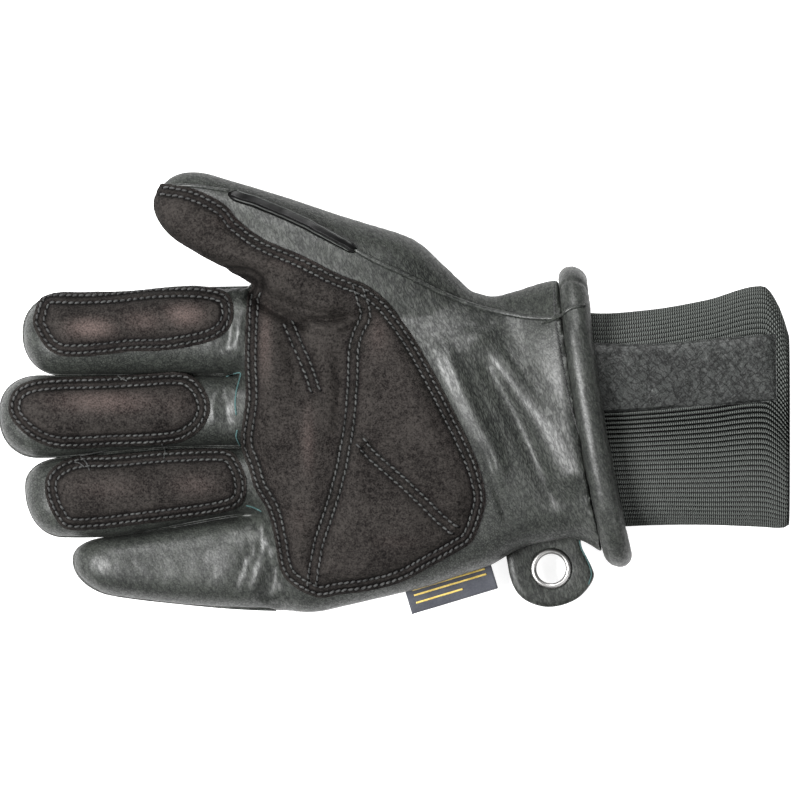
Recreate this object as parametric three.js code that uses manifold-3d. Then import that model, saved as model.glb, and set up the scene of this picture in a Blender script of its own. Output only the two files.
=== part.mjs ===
// Insulated leather work glove for the right hand, lying on its back with the palm up.
// Millimetres, +Z up, fingers towards -X, thumb towards +Y, knit wrist towards +X, floor at z = 0.
// The hand frame has x = 0 at the finger roots and y = 0 at the middle of the palm. The finished
// group is moved so that the origin is on the floor under the middle of the whole glove.
import * as THREE from 'three';
import { mergeVertices } from 'three/addons/utils/BufferGeometryUtils.js';
import Module from 'manifold-3d';

const wasm = await Module();
wasm.setup();

// Hand of the glove
const palmLength = 127;
const palmWidth = 124;
const palmHeight = 40;
const wall = 3;
const webSetback = 2.7;
const webNose = 9;
const mouthLean = 0.165;
const mouthBow = 0.25;

// Fingers, each from the finger roots to its tip
const indexLength = 82;
const middleLength = 91;
const ringLength = 81;
const littleLength = 63;
const fingerHeight = 28;
const fingerGap = 0.5;
const fingerNose = 15;
const fingerRootDepth = 24;

// Thumb, from its tip to its root inside the palm
const thumbLength = 125;
const thumbWidth = 35;
const thumbHeight = 36;
const thumbAngle = 26.3;
const thumbNose = 17;

// Sewn-on leather
const clearance = 0.3;
const suedeThickness = 1.2;
const bladeWidth = 3;
const bladeHeight = 2.4;

// Wrist
const hemRadius = 5.2;
const cuffLength = 70.5;
const cuffWidth = 80;
const cuffHeight = 33;
const cuffSeatDepth = 12;
const neckClearance = 1;
const knitThickness = 2.6;
const ribDepth = 0.7;
const ribCount = 52;
const cuffPatchWidth = 27;
const cuffPatchEnd = 5;

// Hang tab, eyelet and label
const tabWidth = 34;
const tabDrop = 26;
const tabThickness = 2.8;
const eyeletHole = 11;
const eyeletFlange = 15.6;
const eyeletMetal = 0.6;
const eyeletCrown = 0.9;
const labelLength = 34.5;
const labelDrop = 12.5;
const labelThickness = 1.2;
const labelTilt = 24;

// Number of flat sides and sections
const palmSides = 28;
const palmInnerSides = 22;
const fingerSides = 14;
const fingerInnerSides = 10;
const thumbSides = 18;
const thumbInnerSides = 12;
const hemSides = 8;
const palmSteps = 11;
const palmInnerSteps = 8;
const fingerSteps = 6;
const fingerInnerSteps = 4;
const thumbSteps = 9;
const thumbInnerSteps = 6;
const outlinePoints = 58;
const cornerPoints = 4;
const tabArcSides = 10;
const eyeletSides = 18;
const noseAngles = [0.15, 0.38, 0.65];

// How square a section and a nose are: 2 is an ellipse, and more is squarer
const squareness = 2.5;
const noseSquareness = 2.2;

// Palm sections. at: share of palmLength; up, down: shares of palmWidth; low, top: shares of
// palmHeight; lean: share of mouthLean, the slant of the section in plan.
const palmRows = [
  { at: 0.0, up: 0.49, down: -0.49, low: -0.04, top: 0.8, lean: 0.73 },
  { at: 0.066, up: 0.497, down: -0.5, low: -0.04, top: 0.82, lean: 0.73 },
  { at: 0.18, up: 0.503, down: -0.5, low: -0.05, top: 0.89, lean: 0.5 },
  { at: 0.323, up: 0.503, down: -0.478, low: -0.05, top: 0.95, lean: 0.15 },
  { at: 0.467, up: 0.503, down: -0.447, low: -0.05, top: 1.0, lean: 0 },
  { at: 0.569, up: 0.5, down: -0.42, low: -0.05, top: 1.01, lean: 0 },
  { at: 0.659, up: 0.49, down: -0.389, low: -0.05, top: 1.0, lean: 0 },
  { at: 0.749, up: 0.463, down: -0.355, low: -0.04, top: 0.96, lean: 0.05 },
  { at: 0.823, up: 0.475, down: -0.303, low: -0.02, top: 0.93, lean: 0.3 },
  { at: 0.898, up: 0.496, down: -0.282, low: 0, top: 0.95, lean: 0.6 },
  { at: 0.946, up: 0.506, down: -0.28, low: 0.03, top: 1.0, lean: 0.85 },
  { at: 1.0, up: 0.515, down: -0.322, low: 0.07, top: 1.07, lean: 1 },
];

// Lines between the fingers. at: share of middleLength from the finger roots, negative inside the
// palm; the others: shares of palmWidth, from the index finger's free side to the little finger's.
const fingerLines = [
  { at: -0.26, a: 0.497, b: 0.228, c: 0.003, d: -0.19, e: -0.5 },
  { at: 0, a: 0.494, b: 0.224, c: 0.004, d: -0.204, e: -0.493 },
  { at: 0.25, a: 0.488, b: 0.224, c: 0.003, d: -0.236, e: -0.477 },
  { at: 0.5, a: 0.472, b: 0.222, c: -0.011, d: -0.268, e: -0.455 },
  { at: 0.75, a: 0.472, b: 0.222, c: -0.028, d: -0.273, e: -0.42 },
  { at: 1, a: 0.46, b: 0.222, c: -0.03, d: -0.27, e: -0.39 },
];

// Height of a finger along its length. at: share of the finger's own length from the root, negative
// inside the palm; low, top: shares of fingerHeight.
const fingerRows = [
  { at: -0.3, low: 0.05, top: 0.98 },
  { at: 0, low: -0.04, top: 1.08 },
  { at: 0.2, low: -0.04, top: 1.03 },
  { at: 0.5, low: -0.03, top: 1.0 },
  { at: 0.75, low: 0.02, top: 0.98 },
  { at: 1, low: 0.08, top: 0.94 },
];

// The four fingers. up, down: their columns of fingerLines; high: share of the finger's height;
// tipAside: sideways place of the tip as a share of palmWidth.
const fingers = [
  { name: 'index', length: indexLength, up: 'a', down: 'b', high: 1, tipAside: 0.01 },
  { name: 'middle', length: middleLength, up: 'b', down: 'c', high: 1.02, tipAside: 0.01 },
  { name: 'ring', length: ringLength, up: 'c', down: 'd', high: 1, tipAside: 0.035 },
  { name: 'little', length: littleLength, up: 'd', down: 'e', high: 0.93, tipAside: 0.01 },
];

// Thumb sections. at: share of thumbLength from the tip; up, down: shares of thumbWidth;
// low, top: shares of thumbHeight.
const thumbRows = [
  { at: 0, up: 0.44, down: -0.25, low: 0.24, top: 0.93 },
  { at: 0.136, up: 0.485, down: -0.29, low: 0.2, top: 0.95 },
  { at: 0.25, up: 0.56, down: -0.325, low: 0.17, top: 0.98 },
  { at: 0.364, up: 0.625, down: -0.355, low: 0.12, top: 1.01 },
  { at: 0.476, up: 0.67, down: -0.375, low: 0.08, top: 1.04 },
  { at: 0.627, up: 0.76, down: -0.36, low: 0.04, top: 1.06 },
  { at: 0.757, up: 0.815, down: -0.28, low: 0.02, top: 1.04 },
  { at: 0.867, up: 0.72, down: -0.22, low: 0.03, top: 0.97 },
  { at: 1, up: 0.56, down: -0.2, low: 0.08, top: 0.85 },
];

// Place of the thumb's root: shares of palmLength and palmWidth
const thumbRoot = { x: 0.637, y: 0.321 };

// Folds and dents of the palm side. x1 to y2: shares of palmLength and palmWidth; wide: share of
// palmWidth; high: share of palmHeight, negative for a groove.
const foldRows = [
  { x1: 0.608, y1: 0.316, x2: 0.778, y2: -0.067, wide: 0.05, high: 0.045 },
  { x1: 0.73, y1: 0.248, x2: 0.952, y2: -0.205, wide: 0.055, high: -0.075 },
  { x1: 0.686, y1: 0.352, x2: 0.922, y2: 0.061, wide: 0.04, high: 0.04 },
  { x1: 0.284, y1: 0.346, x2: 0.284, y2: -0.297, wide: 0.09, high: -0.06 },
  { x1: 0.135, y1: -0.36, x2: 0.114, y2: -0.5, wide: 0.04, high: -0.03 },
];

// Outline of the palm suede, which goes round the thumb: shares of palmLength and palmWidth
const palmSuedeOutline = [
  [0.027, 0.506], [0.021, 0.454], [0.015, 0.27], [0.018, 0.15], [0.003, 0.018], [0.027, -0.061],
  [0.045, -0.123], [0.084, -0.193], [0.105, -0.279], [0.123, -0.374], [0.168, -0.426],
  [0.237, -0.457], [0.299, -0.447], [0.389, -0.435], [0.485, -0.408], [0.569, -0.362],
  [0.644, -0.319], [0.695, -0.282], [0.725, -0.205], [0.734, -0.144], [0.713, -0.052],
  [0.674, 0.04], [0.629, 0.132], [0.575, 0.239], [0.524, 0.331], [0.479, 0.398],
  [0.434, 0.454], [0.374, 0.5], [0.299, 0.53], [0.18, 0.591], [0.075, 0.637],
  [0, 0.693], [-0.045, 0.745], [-0.135, 0.791], [-0.225, 0.809], [-0.314, 0.809],
  [-0.314, 0.637], [-0.15, 0.53],
];

// Suede of the fingers. from, to: shares of the finger's length from its root; up, down: shares of
// palmWidth. The floors are the lowest edges, as shares of palmHeight and fingerHeight, and a corner
// is a share of the patch's width.
const fingerSuedes = [
  { name: 'index', from: 0.02, to: 0.93, up: 0.462, down: 0.288 },
  { name: 'middle', from: 0.13, to: 0.963, up: 0.214, down: 0.01 },
  { name: 'ring', from: -0.03, to: 0.87, up: -0.006, down: -0.25 },
];
const suedeFloor = 0.42;
const fingerSuedeFloor = 0.5;
const fingerSuedeCorner = 0.35;

// Wiper blade on the thumb: its two ends, as shares of palmLength and palmWidth
const bladeEnds = { x1: -0.024, y1: 0.772, x2: 0.356, y2: 0.6 };

// Knit wrist sections. at: share of cuffLength from the hem; up, down: shares of cuffWidth about
// the middle of the mouth; drop: 0 inside the hem, 1 where the knit lies on the floor; lean: as in
// palmRows.
const cuffRows = [
  { at: -0.04, up: 0.5, down: -0.52, drop: 0, lean: 0.8 },
  { at: 0.26, up: 0.51, down: -0.51, drop: 0.3, lean: 0.4 },
  { at: 0.56, up: 0.558, down: -0.51, drop: 0.8, lean: 0.1 },
  { at: 0.86, up: 0.625, down: -0.52, drop: 1, lean: 0 },
  { at: 0.94, up: 0.54, down: -0.525, drop: 1, lean: 0 },
  { at: 1, up: 0.4, down: -0.52, drop: 0.98, lean: 0 },
];
const cuffAside = -0.005;
const cuffInnerKeeps = [0, 1, 3, 6];
const cuffPatchAside = 0.215;

// Hang tab: its middle as a share of palmLength, and its height above the floor
const tabPlace = 0.934;
const tabLevel = 12;
const tabRootDepth = 8;
const tabNarrowing = 0.6;
const eyeletAside = 0.52;

// Label: its two ends as shares of palmLength, and its place round the side seam in degrees
const labelStart = 0.49;
const labelAngle = -22;

/** Value of one column at a place between the table's rows, smooth through the rows. */
function between(rows, column, at) {
  const last = rows.length - 1;
  let k = 0;
  while (k < last - 1 && at > rows[k + 1].at) k += 1;
  const slope = (i) => {
    const before = rows[Math.max(i - 1, 0)];
    const after = rows[Math.min(i + 1, last)];
    return (after[column] - before[column]) / (after.at - before.at);
  };
  const from = rows[k];
  const to = rows[k + 1];
  const span = to.at - from.at;
  const t = THREE.MathUtils.clamp((at - from.at) / span, 0, 1);
  const keepFrom = 2 * t ** 3 - 3 * t ** 2 + 1;
  const keepTo = 1 - keepFrom;
  const bendFrom = (t ** 3 - 2 * t ** 2 + t) * span;
  const bendTo = (t ** 3 - t ** 2) * span;
  return keepFrom * from[column] + keepTo * to[column] + bendFrom * slope(k) + bendTo * slope(k + 1);
}

/** One closed section: a squared ellipse between its limits, flattened where it lies on the floor. */
function ringOf(section, sides, floor) {
  const midAcross = (section.up + section.down) / 2;
  const midHigh = (section.top + section.low) / 2;
  const halfAcross = (section.up - section.down) / 2;
  const halfHigh = (section.top - section.low) / 2;
  const power = 2 / squareness;
  const ring = [];
  for (let i = 0; i < sides; i += 1) {
    const turn = (2 * Math.PI * (i + 0.5)) / sides;
    const across = Math.sign(Math.cos(turn)) * Math.abs(Math.cos(turn)) ** power * halfAcross;
    const high = Math.sign(Math.sin(turn)) * Math.abs(Math.sin(turn)) ** power * halfHigh;
    ring.push({
      along: section.along - section.lean * (across - (mouthBow * across ** 2) / halfAcross),
      across: midAcross + across,
      high: Math.max(midHigh + high, floor),
      topness: Math.max(high / halfHigh, 0),
    });
  }
  return ring;
}

/** Height that the folds of the palm add at a place on it. */
function foldHeight(x, y) {
  let sum = 0;
  for (const fold of foldRows) {
    const start = new THREE.Vector2(fold.x1 * palmLength, fold.y1 * palmWidth);
    const end = new THREE.Vector2(fold.x2 * palmLength, fold.y2 * palmWidth);
    const line = end.clone().sub(start);
    const rel = new THREE.Vector2(x, y).sub(start);
    const t = THREE.MathUtils.clamp(rel.dot(line) / line.lengthSq(), 0, 1);
    const apart = rel.sub(line.multiplyScalar(t)).length();
    sum += fold.high * palmHeight * Math.exp(-((apart / (fold.wide * palmWidth)) ** 2));
  }
  return sum;
}

/** Triangles through rings of equal count; the ends are closed by fans, or join for a hoop. */
function skinOf(rings, hoop = false) {
  const sides = rings[0].length;
  const points = rings.flat();
  const faces = [];
  const joins = hoop ? rings.length : rings.length - 1;
  for (let k = 0; k < joins; k += 1) {
    const here = k * sides;
    const next = ((k + 1) % rings.length) * sides;
    for (let i = 0; i < sides; i += 1) {
      const j = (i + 1) % sides;
      faces.push([here + i, next + i, next + j], [here + i, next + j, here + j]);
    }
  }
  if (!hoop) {
    for (const [ring, turned] of [[0, true], [rings.length - 1, false]]) {
      const middle = new THREE.Vector3();
      rings[ring].forEach((p) => middle.add(p));
      points.push(middle.divideScalar(sides));
      const hub = points.length - 1;
      for (let i = 0; i < sides; i += 1) {
        const a = ring * sides + i;
        const b = ring * sides + ((i + 1) % sides);
        faces.push(turned ? [hub, a, b] : [hub, b, a]);
      }
    }
  }
  const geometry = new THREE.BufferGeometry();
  const places = points.flatMap((p) => [p.x, p.y, p.z]);
  geometry.setAttribute('position', new THREE.Float32BufferAttribute(places, 3));
  geometry.setIndex(faces.flat());
  return geometry;
}

/** Solid from a closed geometry, for cutting and joining. */
function solidOf(geometry) {
  const bare = geometry.clone();
  bare.deleteAttribute('normal');
  bare.deleteAttribute('uv');
  const merged = mergeVertices(bare, 1e-4);
  const solid = new wasm.Manifold(new wasm.Mesh({
    numProp: 3,
    vertProperties: new Float32Array(merged.attributes.position.array),
    triVerts: new Uint32Array(merged.index.array),
  }));
  if (solid.volume() > 0) return solid;
  const triangles = merged.index.array;
  for (let i = 0; i < triangles.length; i += 3) {
    [triangles[i], triangles[i + 1]] = [triangles[i + 1], triangles[i]];
  }
  return new wasm.Manifold(new wasm.Mesh({
    numProp: 3,
    vertProperties: new Float32Array(merged.attributes.position.array),
    triVerts: new Uint32Array(triangles),
  }));
}

/** Geometry of the largest body of a cut solid. */
function geometryOf(solid) {
  const bodies = solid.decompose();
  const body = bodies.reduce((best, next) => (next.volume() > best.volume() ? next : best));
  const mesh = body.getMesh();
  const geometry = new THREE.BufferGeometry();
  geometry.setAttribute('position', new THREE.BufferAttribute(new Float32Array(mesh.vertProperties), 3));
  geometry.setIndex(new THREE.BufferAttribute(new Uint32Array(mesh.triVerts), 1));
  return geometry;
}

/** Stations along a limb: a rounded nose, then even steps to its end. */
function stationsOf(start, noseLength, end, steps) {
  const nose = noseAngles.map((share) => {
    const turn = (share * Math.PI) / 2;
    const squeeze = (1 - Math.cos(turn) ** noseSquareness) ** (1 / noseSquareness);
    return { along: start + noseLength * (1 - Math.cos(turn)), squeeze };
  });
  const body = [];
  for (let i = 0; i <= steps; i += 1) {
    body.push({ along: start + noseLength + ((end - start - noseLength) * i) / steps, squeeze: 1 });
  }
  return nose.concat(body);
}

/** A section drawn in towards its nose and moved out by a growth, inwards when it is negative. */
function grownSection(limits, station, grow, noseAside = 0) {
  const midAcross = (limits.up + limits.down) / 2 + noseAside * (1 - station.squeeze);
  const midHigh = (limits.top + limits.low) / 2;
  const halfAcross = ((limits.up - limits.down) / 2 + grow) * station.squeeze;
  const halfHigh = ((limits.top - limits.low) / 2 + grow) * station.squeeze;
  return {
    along: station.along,
    up: midAcross + halfAcross,
    down: midAcross - halfAcross,
    low: midHigh - halfHigh,
    top: midHigh + halfHigh,
    lean: limits.lean ?? 0,
  };
}

/** Limits of the palm at a place along it, in millimetres. */
function palmLimits(along) {
  const at = along / palmLength;
  return {
    up: between(palmRows, 'up', at) * palmWidth,
    down: between(palmRows, 'down', at) * palmWidth,
    low: between(palmRows, 'low', at) * palmHeight,
    top: between(palmRows, 'top', at) * palmHeight,
    lean: between(palmRows, 'lean', at) * mouthLean,
  };
}

/** One ring of the palm, with its folds. */
function palmRing(station, grow, sides) {
  const section = grownSection(palmLimits(station.along), station, grow);
  return ringOf(section, sides, Math.max(-grow, 0)).map((p) => {
    const lift = foldHeight(p.along, p.across) * p.topness * station.squeeze;
    return new THREE.Vector3(p.along, p.across, p.high + lift);
  });
}

/** The palm grown by a distance, from the webs between the fingers to the mouth or past it. */
function palmLoft(grow, sides, steps, past = 0) {
  const stations = stationsOf(webSetback - grow, webNose, palmLength - cuffSeatDepth, steps);
  for (const share of [0.5, 1]) {
    stations.push({ along: palmLength - cuffSeatDepth * (1 - share), squeeze: 1 });
  }
  if (past > 0) stations.push({ along: palmLength + past, squeeze: 1 });
  return solidOf(skinOf(stations.map((station) => palmRing(station, grow, sides))));
}

/** One finger grown by a distance, from its tip to its root inside the palm. */
function fingerLoft(finger, grow, sides, steps) {
  const start = -finger.length - grow;
  const rings = stationsOf(start, fingerNose, fingerRootDepth, steps).map((station) => {
    const across = -station.along / middleLength;
    const high = -station.along / finger.length;
    const limits = {
      up: between(fingerLines, finger.up, across) * palmWidth - fingerGap / 2,
      down: between(fingerLines, finger.down, across) * palmWidth + fingerGap / 2,
      low: between(fingerRows, 'low', high) * fingerHeight,
      top: between(fingerRows, 'top', high) * fingerHeight * finger.high,
    };
    const section = grownSection(limits, station, grow, finger.tipAside * palmWidth);
    return ringOf(section, sides, Math.max(-grow, 0))
      .map((p) => new THREE.Vector3(p.along, p.across, p.high));
  });
  return solidOf(skinOf(rings));
}

/** The thumb grown by a distance, from its tip to its root inside the palm. */
function thumbLoft(grow, sides, steps) {
  const turn = THREE.MathUtils.degToRad(thumbAngle);
  const tipX = thumbRoot.x * palmLength - Math.cos(turn) * thumbLength;
  const tipY = thumbRoot.y * palmWidth + Math.sin(turn) * thumbLength;
  const rings = stationsOf(-grow, thumbNose, thumbLength, steps).map((station) => {
    const at = station.along / thumbLength;
    const limits = {
      up: between(thumbRows, 'up', at) * thumbWidth,
      down: between(thumbRows, 'down', at) * thumbWidth,
      low: between(thumbRows, 'low', at) * thumbHeight,
      top: between(thumbRows, 'top', at) * thumbHeight,
    };
    return ringOf(grownSection(limits, station, grow), sides, Math.max(-grow, 0)).map((p) => {
      const x = tipX + p.along * Math.cos(turn) + p.across * Math.sin(turn);
      const y = tipY - p.along * Math.sin(turn) + p.across * Math.cos(turn);
      return new THREE.Vector3(x, y, p.high);
    });
  });
  return solidOf(skinOf(rings));
}

/** The whole hand grown by a distance. */
function handLoft(grow) {
  const parts = fingers.map((finger) => fingerLoft(finger, grow, fingerSides, fingerSteps));
  return parts.reduce((sum, part) => sum.add(part), palmLoft(grow, palmSides, palmSteps))
    .add(thumbLoft(grow, thumbSides, thumbSteps));
}

/** Upright block over an outline, between two heights. */
function prismOf(outline, from, to) {
  const shape = new THREE.Shape(outline.map(([x, y]) => new THREE.Vector2(x, y)));
  const block = new THREE.ExtrudeGeometry(shape, { depth: to - from, bevelEnabled: false });
  return solidOf(block.translate(0, 0, from));
}

/** Box between two corners. */
function boxOf(low, high) {
  const box = new THREE.BoxGeometry(high[0] - low[0], high[1] - low[1], high[2] - low[2]);
  return solidOf(box.translate((low[0] + high[0]) / 2, (low[1] + high[1]) / 2, (low[2] + high[2]) / 2));
}

/** Smooth closed outline through a few points. */
function smoothOutline(points, count) {
  const places = points.map(([x, y]) => new THREE.Vector3(x, y, 0));
  const curve = new THREE.CatmullRomCurve3(places, true, 'centripetal');
  return curve.getPoints(count).slice(0, -1).map((p) => [p.x, p.y]);
}

/** An outline moved out by a small distance, square to its own direction at each point. */
function outlineGrown(points, grow) {
  const spin = THREE.ShapeUtils.isClockWise(points.map(([x, y]) => new THREE.Vector2(x, y))) ? -1 : 1;
  return points.map(([x, y], i) => {
    const before = points[(i + points.length - 1) % points.length];
    const after = points[(i + 1) % points.length];
    const line = new THREE.Vector2(after[0] - before[0], after[1] - before[1]).normalize();
    return [x + line.y * grow * spin, y - line.x * grow * spin];
  });
}

const group = new THREE.Group();

/** Adds one named piece with its own finish. */
function addPiece(name, geometry, color, roughness, metalness = 0) {
  const mesh = new THREE.Mesh(geometry, new THREE.MeshStandardMaterial({ color, roughness, metalness }));
  mesh.name = name;
  group.add(mesh);
}

const far = 400;
const leatherColor = 0x3c403c;
const leatherRoughness = 0.42;
const suedeColor = 0x3e3837;
const clothRoughness = 0.95;

// Leather shell: fingers, thumb and palm, each a wall with its hollow open towards the palm
const fingersOuter = fingers.map((finger) => fingerLoft(finger, 0, fingerSides, fingerSteps));
const fingersInner = fingers.map((finger) => fingerLoft(finger, -wall, fingerInnerSides, fingerInnerSteps));
const palmOuter = palmLoft(0, palmSides, palmSteps);
const palmInner = palmLoft(-wall, palmInnerSides, palmInnerSteps, cuffLength);
const thumbOuter = thumbLoft(0, thumbSides, thumbSteps);
const thumbInner = thumbLoft(-wall, thumbInnerSides, thumbInnerSteps);
const palmTaken = palmLoft(clearance, palmSides, palmSteps);

const rootCut = -webSetback;
const fingerSide = boxOf([-far, -far, -far], [rootCut - clearance / 2, far, far]);
const palmSide = boxOf([rootCut + clearance / 2, -far, -far], [far, far, far]);
fingers.forEach((finger, i) => {
  const tube = fingersOuter[i].subtract(fingersInner[i]).intersect(fingerSide);
  addPiece(`${finger.name}_finger`, geometryOf(tube), leatherColor, leatherRoughness);
});

const thumbTube = fingers.reduce(
  (left, finger) => left.subtract(fingerLoft(finger, clearance, fingerSides, fingerSteps)),
  thumbOuter.subtract(thumbInner).subtract(palmTaken),
);
addPiece('thumb', geometryOf(thumbTube), leatherColor, leatherRoughness);

let palmShell = fingersOuter.reduce((sum, part) => sum.add(part), palmOuter).intersect(palmSide);
palmShell = fingersInner.reduce((left, part) => left.subtract(part), palmShell.subtract(palmInner));
palmShell = palmShell.subtract(thumbInner);
addPiece('palm_shell', geometryOf(palmShell), leatherColor, leatherRoughness);

// Suede reinforcements that lie on the shell
const suedeUnder = handLoft(clearance);
const suedeOver = handLoft(clearance + suedeThickness);
const suedeCoat = suedeOver.subtract(suedeUnder);
const palmOutline = smoothOutline(
  palmSuedeOutline.map(([x, y]) => [x * palmLength, y * palmWidth]),
  outlinePoints,
);
const palmSuede = suedeCoat.intersect(prismOf(palmOutline, suedeFloor * palmHeight, 2 * palmHeight));
addPiece('palm_suede', geometryOf(palmSuede), suedeColor, clothRoughness);
const takenFloor = suedeFloor * palmHeight - clearance;
const suedeTaken = palmLoft(2 * clearance + suedeThickness, palmSides, palmSteps)
  .intersect(prismOf(outlineGrown(palmOutline, clearance), takenFloor, 2 * palmHeight));

fingerSuedes.forEach((patch) => {
  const finger = fingers.find((one) => one.name === patch.name);
  const under = fingerLoft(finger, clearance, fingerSides, fingerSteps);
  const over = fingerLoft(finger, clearance + suedeThickness, fingerSides, fingerSteps);
  const x1 = -patch.to * finger.length;
  const x2 = -patch.from * finger.length;
  const y1 = patch.down * palmWidth;
  const y2 = patch.up * palmWidth;
  const corner = (y2 - y1) * fingerSuedeCorner;
  const shape = new THREE.Shape();
  shape.moveTo(x1 + corner, y1).lineTo(x2 - corner, y1);
  shape.absarc(x2 - corner, y1 + corner, corner, -Math.PI / 2, 0);
  shape.absarc(x2 - corner, y2 - corner, corner, 0, Math.PI / 2);
  shape.absarc(x1 + corner, y2 - corner, corner, Math.PI / 2, Math.PI);
  shape.absarc(x1 + corner, y1 + corner, corner, Math.PI, 1.5 * Math.PI);
  const outline = shape.extractPoints(cornerPoints).shape.map((p) => [p.x, p.y]);
  const prism = prismOf(outline, fingerSuedeFloor * fingerHeight, 2 * fingerHeight);
  const neighbours = fingers.filter((one) => one !== finger)
    .map((one) => fingerLoft(one, clearance, fingerSides, fingerSteps));
  const coat = neighbours.reduce((left, one) => left.subtract(one), over.subtract(under));
  addPiece(`${patch.name}_suede`, geometryOf(coat.intersect(prism)), suedeColor, clothRoughness);
});

// Wiper blade: a rubber strip that stands on the thumb beside its suede
const bladeStart = new THREE.Vector2(bladeEnds.x1 * palmLength, bladeEnds.y1 * palmWidth);
const bladeEnd = new THREE.Vector2(bladeEnds.x2 * palmLength, bladeEnds.y2 * palmWidth);
const bladeLine = bladeEnd.clone().sub(bladeStart).normalize().multiplyScalar(bladeWidth / 2);
const bladeAside = new THREE.Vector2(-bladeLine.y, bladeLine.x);
const bladeOutline = [
  bladeStart.clone().sub(bladeAside), bladeEnd.clone().sub(bladeAside),
  bladeEnd.clone().add(bladeAside), bladeStart.clone().add(bladeAside),
].map((p) => [p.x, p.y]);
const bladeCoat = thumbLoft(clearance + bladeHeight, thumbSides, thumbSteps)
  .subtract(thumbLoft(clearance, thumbSides, thumbSteps));
const blade = bladeCoat.intersect(prismOf(bladeOutline, thumbHeight / 2, 2 * thumbHeight));
addPiece('thumb_wiper', geometryOf(blade), 0x1c1d1c, 0.25);

// Rolled hem: a padded hoop at the mouth, flat where it lies on the floor
const hemRings = [];
for (let i = 0; i < hemSides; i += 1) {
  const turn = (2 * Math.PI * i) / hemSides;
  const station = { along: palmLength + clearance + hemRadius * (1 + Math.cos(turn)), squeeze: 1 };
  const section = grownSection(palmLimits(palmLength), station, hemRadius * Math.sin(turn) - clearance);
  hemRings.push(ringOf(section, palmSides, 0).map((p) => new THREE.Vector3(p.along, p.across, p.high)));
}
addPiece('hem_roll', geometryOf(solidOf(skinOf(hemRings, true))), leatherColor, leatherRoughness);

// Knit wrist: flares inside the mouth to its seat on the shell, with raised ribs along its length
const mouth = palmLimits(palmLength);
const cuffMiddle = (mouth.up + mouth.down) / 2 + cuffAside * cuffWidth;
const hemEnd = palmLength + clearance + 2 * hemRadius;
const neckLow = mouth.low + hemRadius + clearance + neckClearance;
const neckTop = mouth.top - hemRadius - 2 * clearance - suedeThickness - neckClearance;

/** Limits of the knit wrist at a row of its table, in millimetres. */
function cuffSection(row, grow) {
  return {
    along: hemEnd + row.at * cuffLength,
    up: cuffMiddle + row.up * cuffWidth + grow,
    down: cuffMiddle + row.down * cuffWidth - grow,
    low: THREE.MathUtils.lerp(neckLow, -knitThickness / 2, row.drop) - grow,
    top: THREE.MathUtils.lerp(neckTop, cuffHeight, row.drop) + grow,
    lean: row.lean * mouthLean,
  };
}

/** Rings of the knit wrist moved out by a growth, from its seat inside the shell to its free end. */
function cuffRings(grow, end = 0) {
  const seat = { along: palmLength - cuffSeatDepth, squeeze: 1 };
  const rings = [palmRing(seat, -wall - clearance + grow, palmInnerSides)];
  const floor = Math.max(-grow, 0);
  for (const row of cuffRows) {
    const section = cuffSection(row, grow);
    rings.push(ringOf(section, palmInnerSides, floor).map((p) => new THREE.Vector3(p.along, p.across, p.high)));
  }
  if (end > 0) rings.push(rings.at(-1).map((p) => p.clone().add(new THREE.Vector3(end, 0, 0))));
  return rings;
}

/** A ring with a point at each rib and, between two ribs, one drawn in by the rib's depth. */
function ribbed(ring, depth) {
  const middle = new THREE.Vector3();
  ring.forEach((p) => middle.add(p));
  middle.divideScalar(ring.length);
  const count = 2 * ribCount;
  const points = [];
  for (let i = 0; i < count; i += 1) {
    const place = (i * ring.length) / count;
    const from = ring[Math.floor(place)];
    const to = ring[(Math.floor(place) + 1) % ring.length];
    const point = from.clone().lerp(to, place % 1);
    const inward = middle.clone().sub(point).setX(0).normalize();
    points.push(point.addScaledVector(inward, i % 2 === 0 ? 0 : depth));
  }
  return points;
}

const cuffOuter = cuffRings(0).map((ring, i) => ribbed(ring, i === 0 ? 0 : ribDepth));
const cuffInner = cuffRings(-knitThickness).map((ring) => ribbed(ring, 0))
  .filter((ring, i) => cuffInnerKeeps.includes(i));
const cuff = solidOf(skinOf(cuffOuter.concat(cuffInner.reverse()), true));
addPiece('knit_cuff', geometryOf(cuff), 0x4b4e4c, clothRoughness);

// Leather patch sewn on the knit
const cuffPatchMiddle = cuffMiddle + cuffPatchAside * cuffWidth;
const patchStart = hemEnd - 2 * hemRadius;
const patchEnd = hemEnd + cuffLength - cuffPatchEnd;
const cuffCoat = solidOf(skinOf(cuffRings(clearance + suedeThickness)))
  .subtract(solidOf(skinOf(cuffRings(clearance, cuffPatchEnd))));
const cuffPatchBox = boxOf(
  [patchStart, cuffPatchMiddle - cuffPatchWidth / 2, cuffHeight / 2],
  [patchEnd, cuffPatchMiddle + cuffPatchWidth / 2, 2 * cuffHeight],
);
addPiece('cuff_patch', geometryOf(cuffCoat.intersect(cuffPatchBox)), leatherColor, leatherRoughness);

// Hang tab on the side seam with a metal eyelet through it
const tabX = tabPlace * palmLength;
const tabTop = palmLimits(tabX).down;
const tabShape = new THREE.Shape();
const tabBend = tabWidth / 2;
tabShape.moveTo(tabX - tabBend, tabTop + tabRootDepth);
tabShape.lineTo(tabX - tabBend, tabTop - (tabDrop - tabBend));
tabShape.absarc(tabX, tabTop - (tabDrop - tabBend), tabBend, Math.PI, 2 * Math.PI);
tabShape.lineTo(tabX + tabNarrowing * tabBend, tabTop + tabRootDepth);
const eyeletPlace = new THREE.Vector2(tabX, tabTop - eyeletAside * tabDrop);
const tabHole = new THREE.Path();
tabHole.absarc(eyeletPlace.x, eyeletPlace.y, eyeletHole / 2 + eyeletMetal + clearance, 0, 2 * Math.PI, true);
tabShape.holes.push(tabHole);
const tabBlock = new THREE.ExtrudeGeometry(tabShape, {
  depth: tabThickness, bevelEnabled: false, curveSegments: tabArcSides,
});
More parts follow.
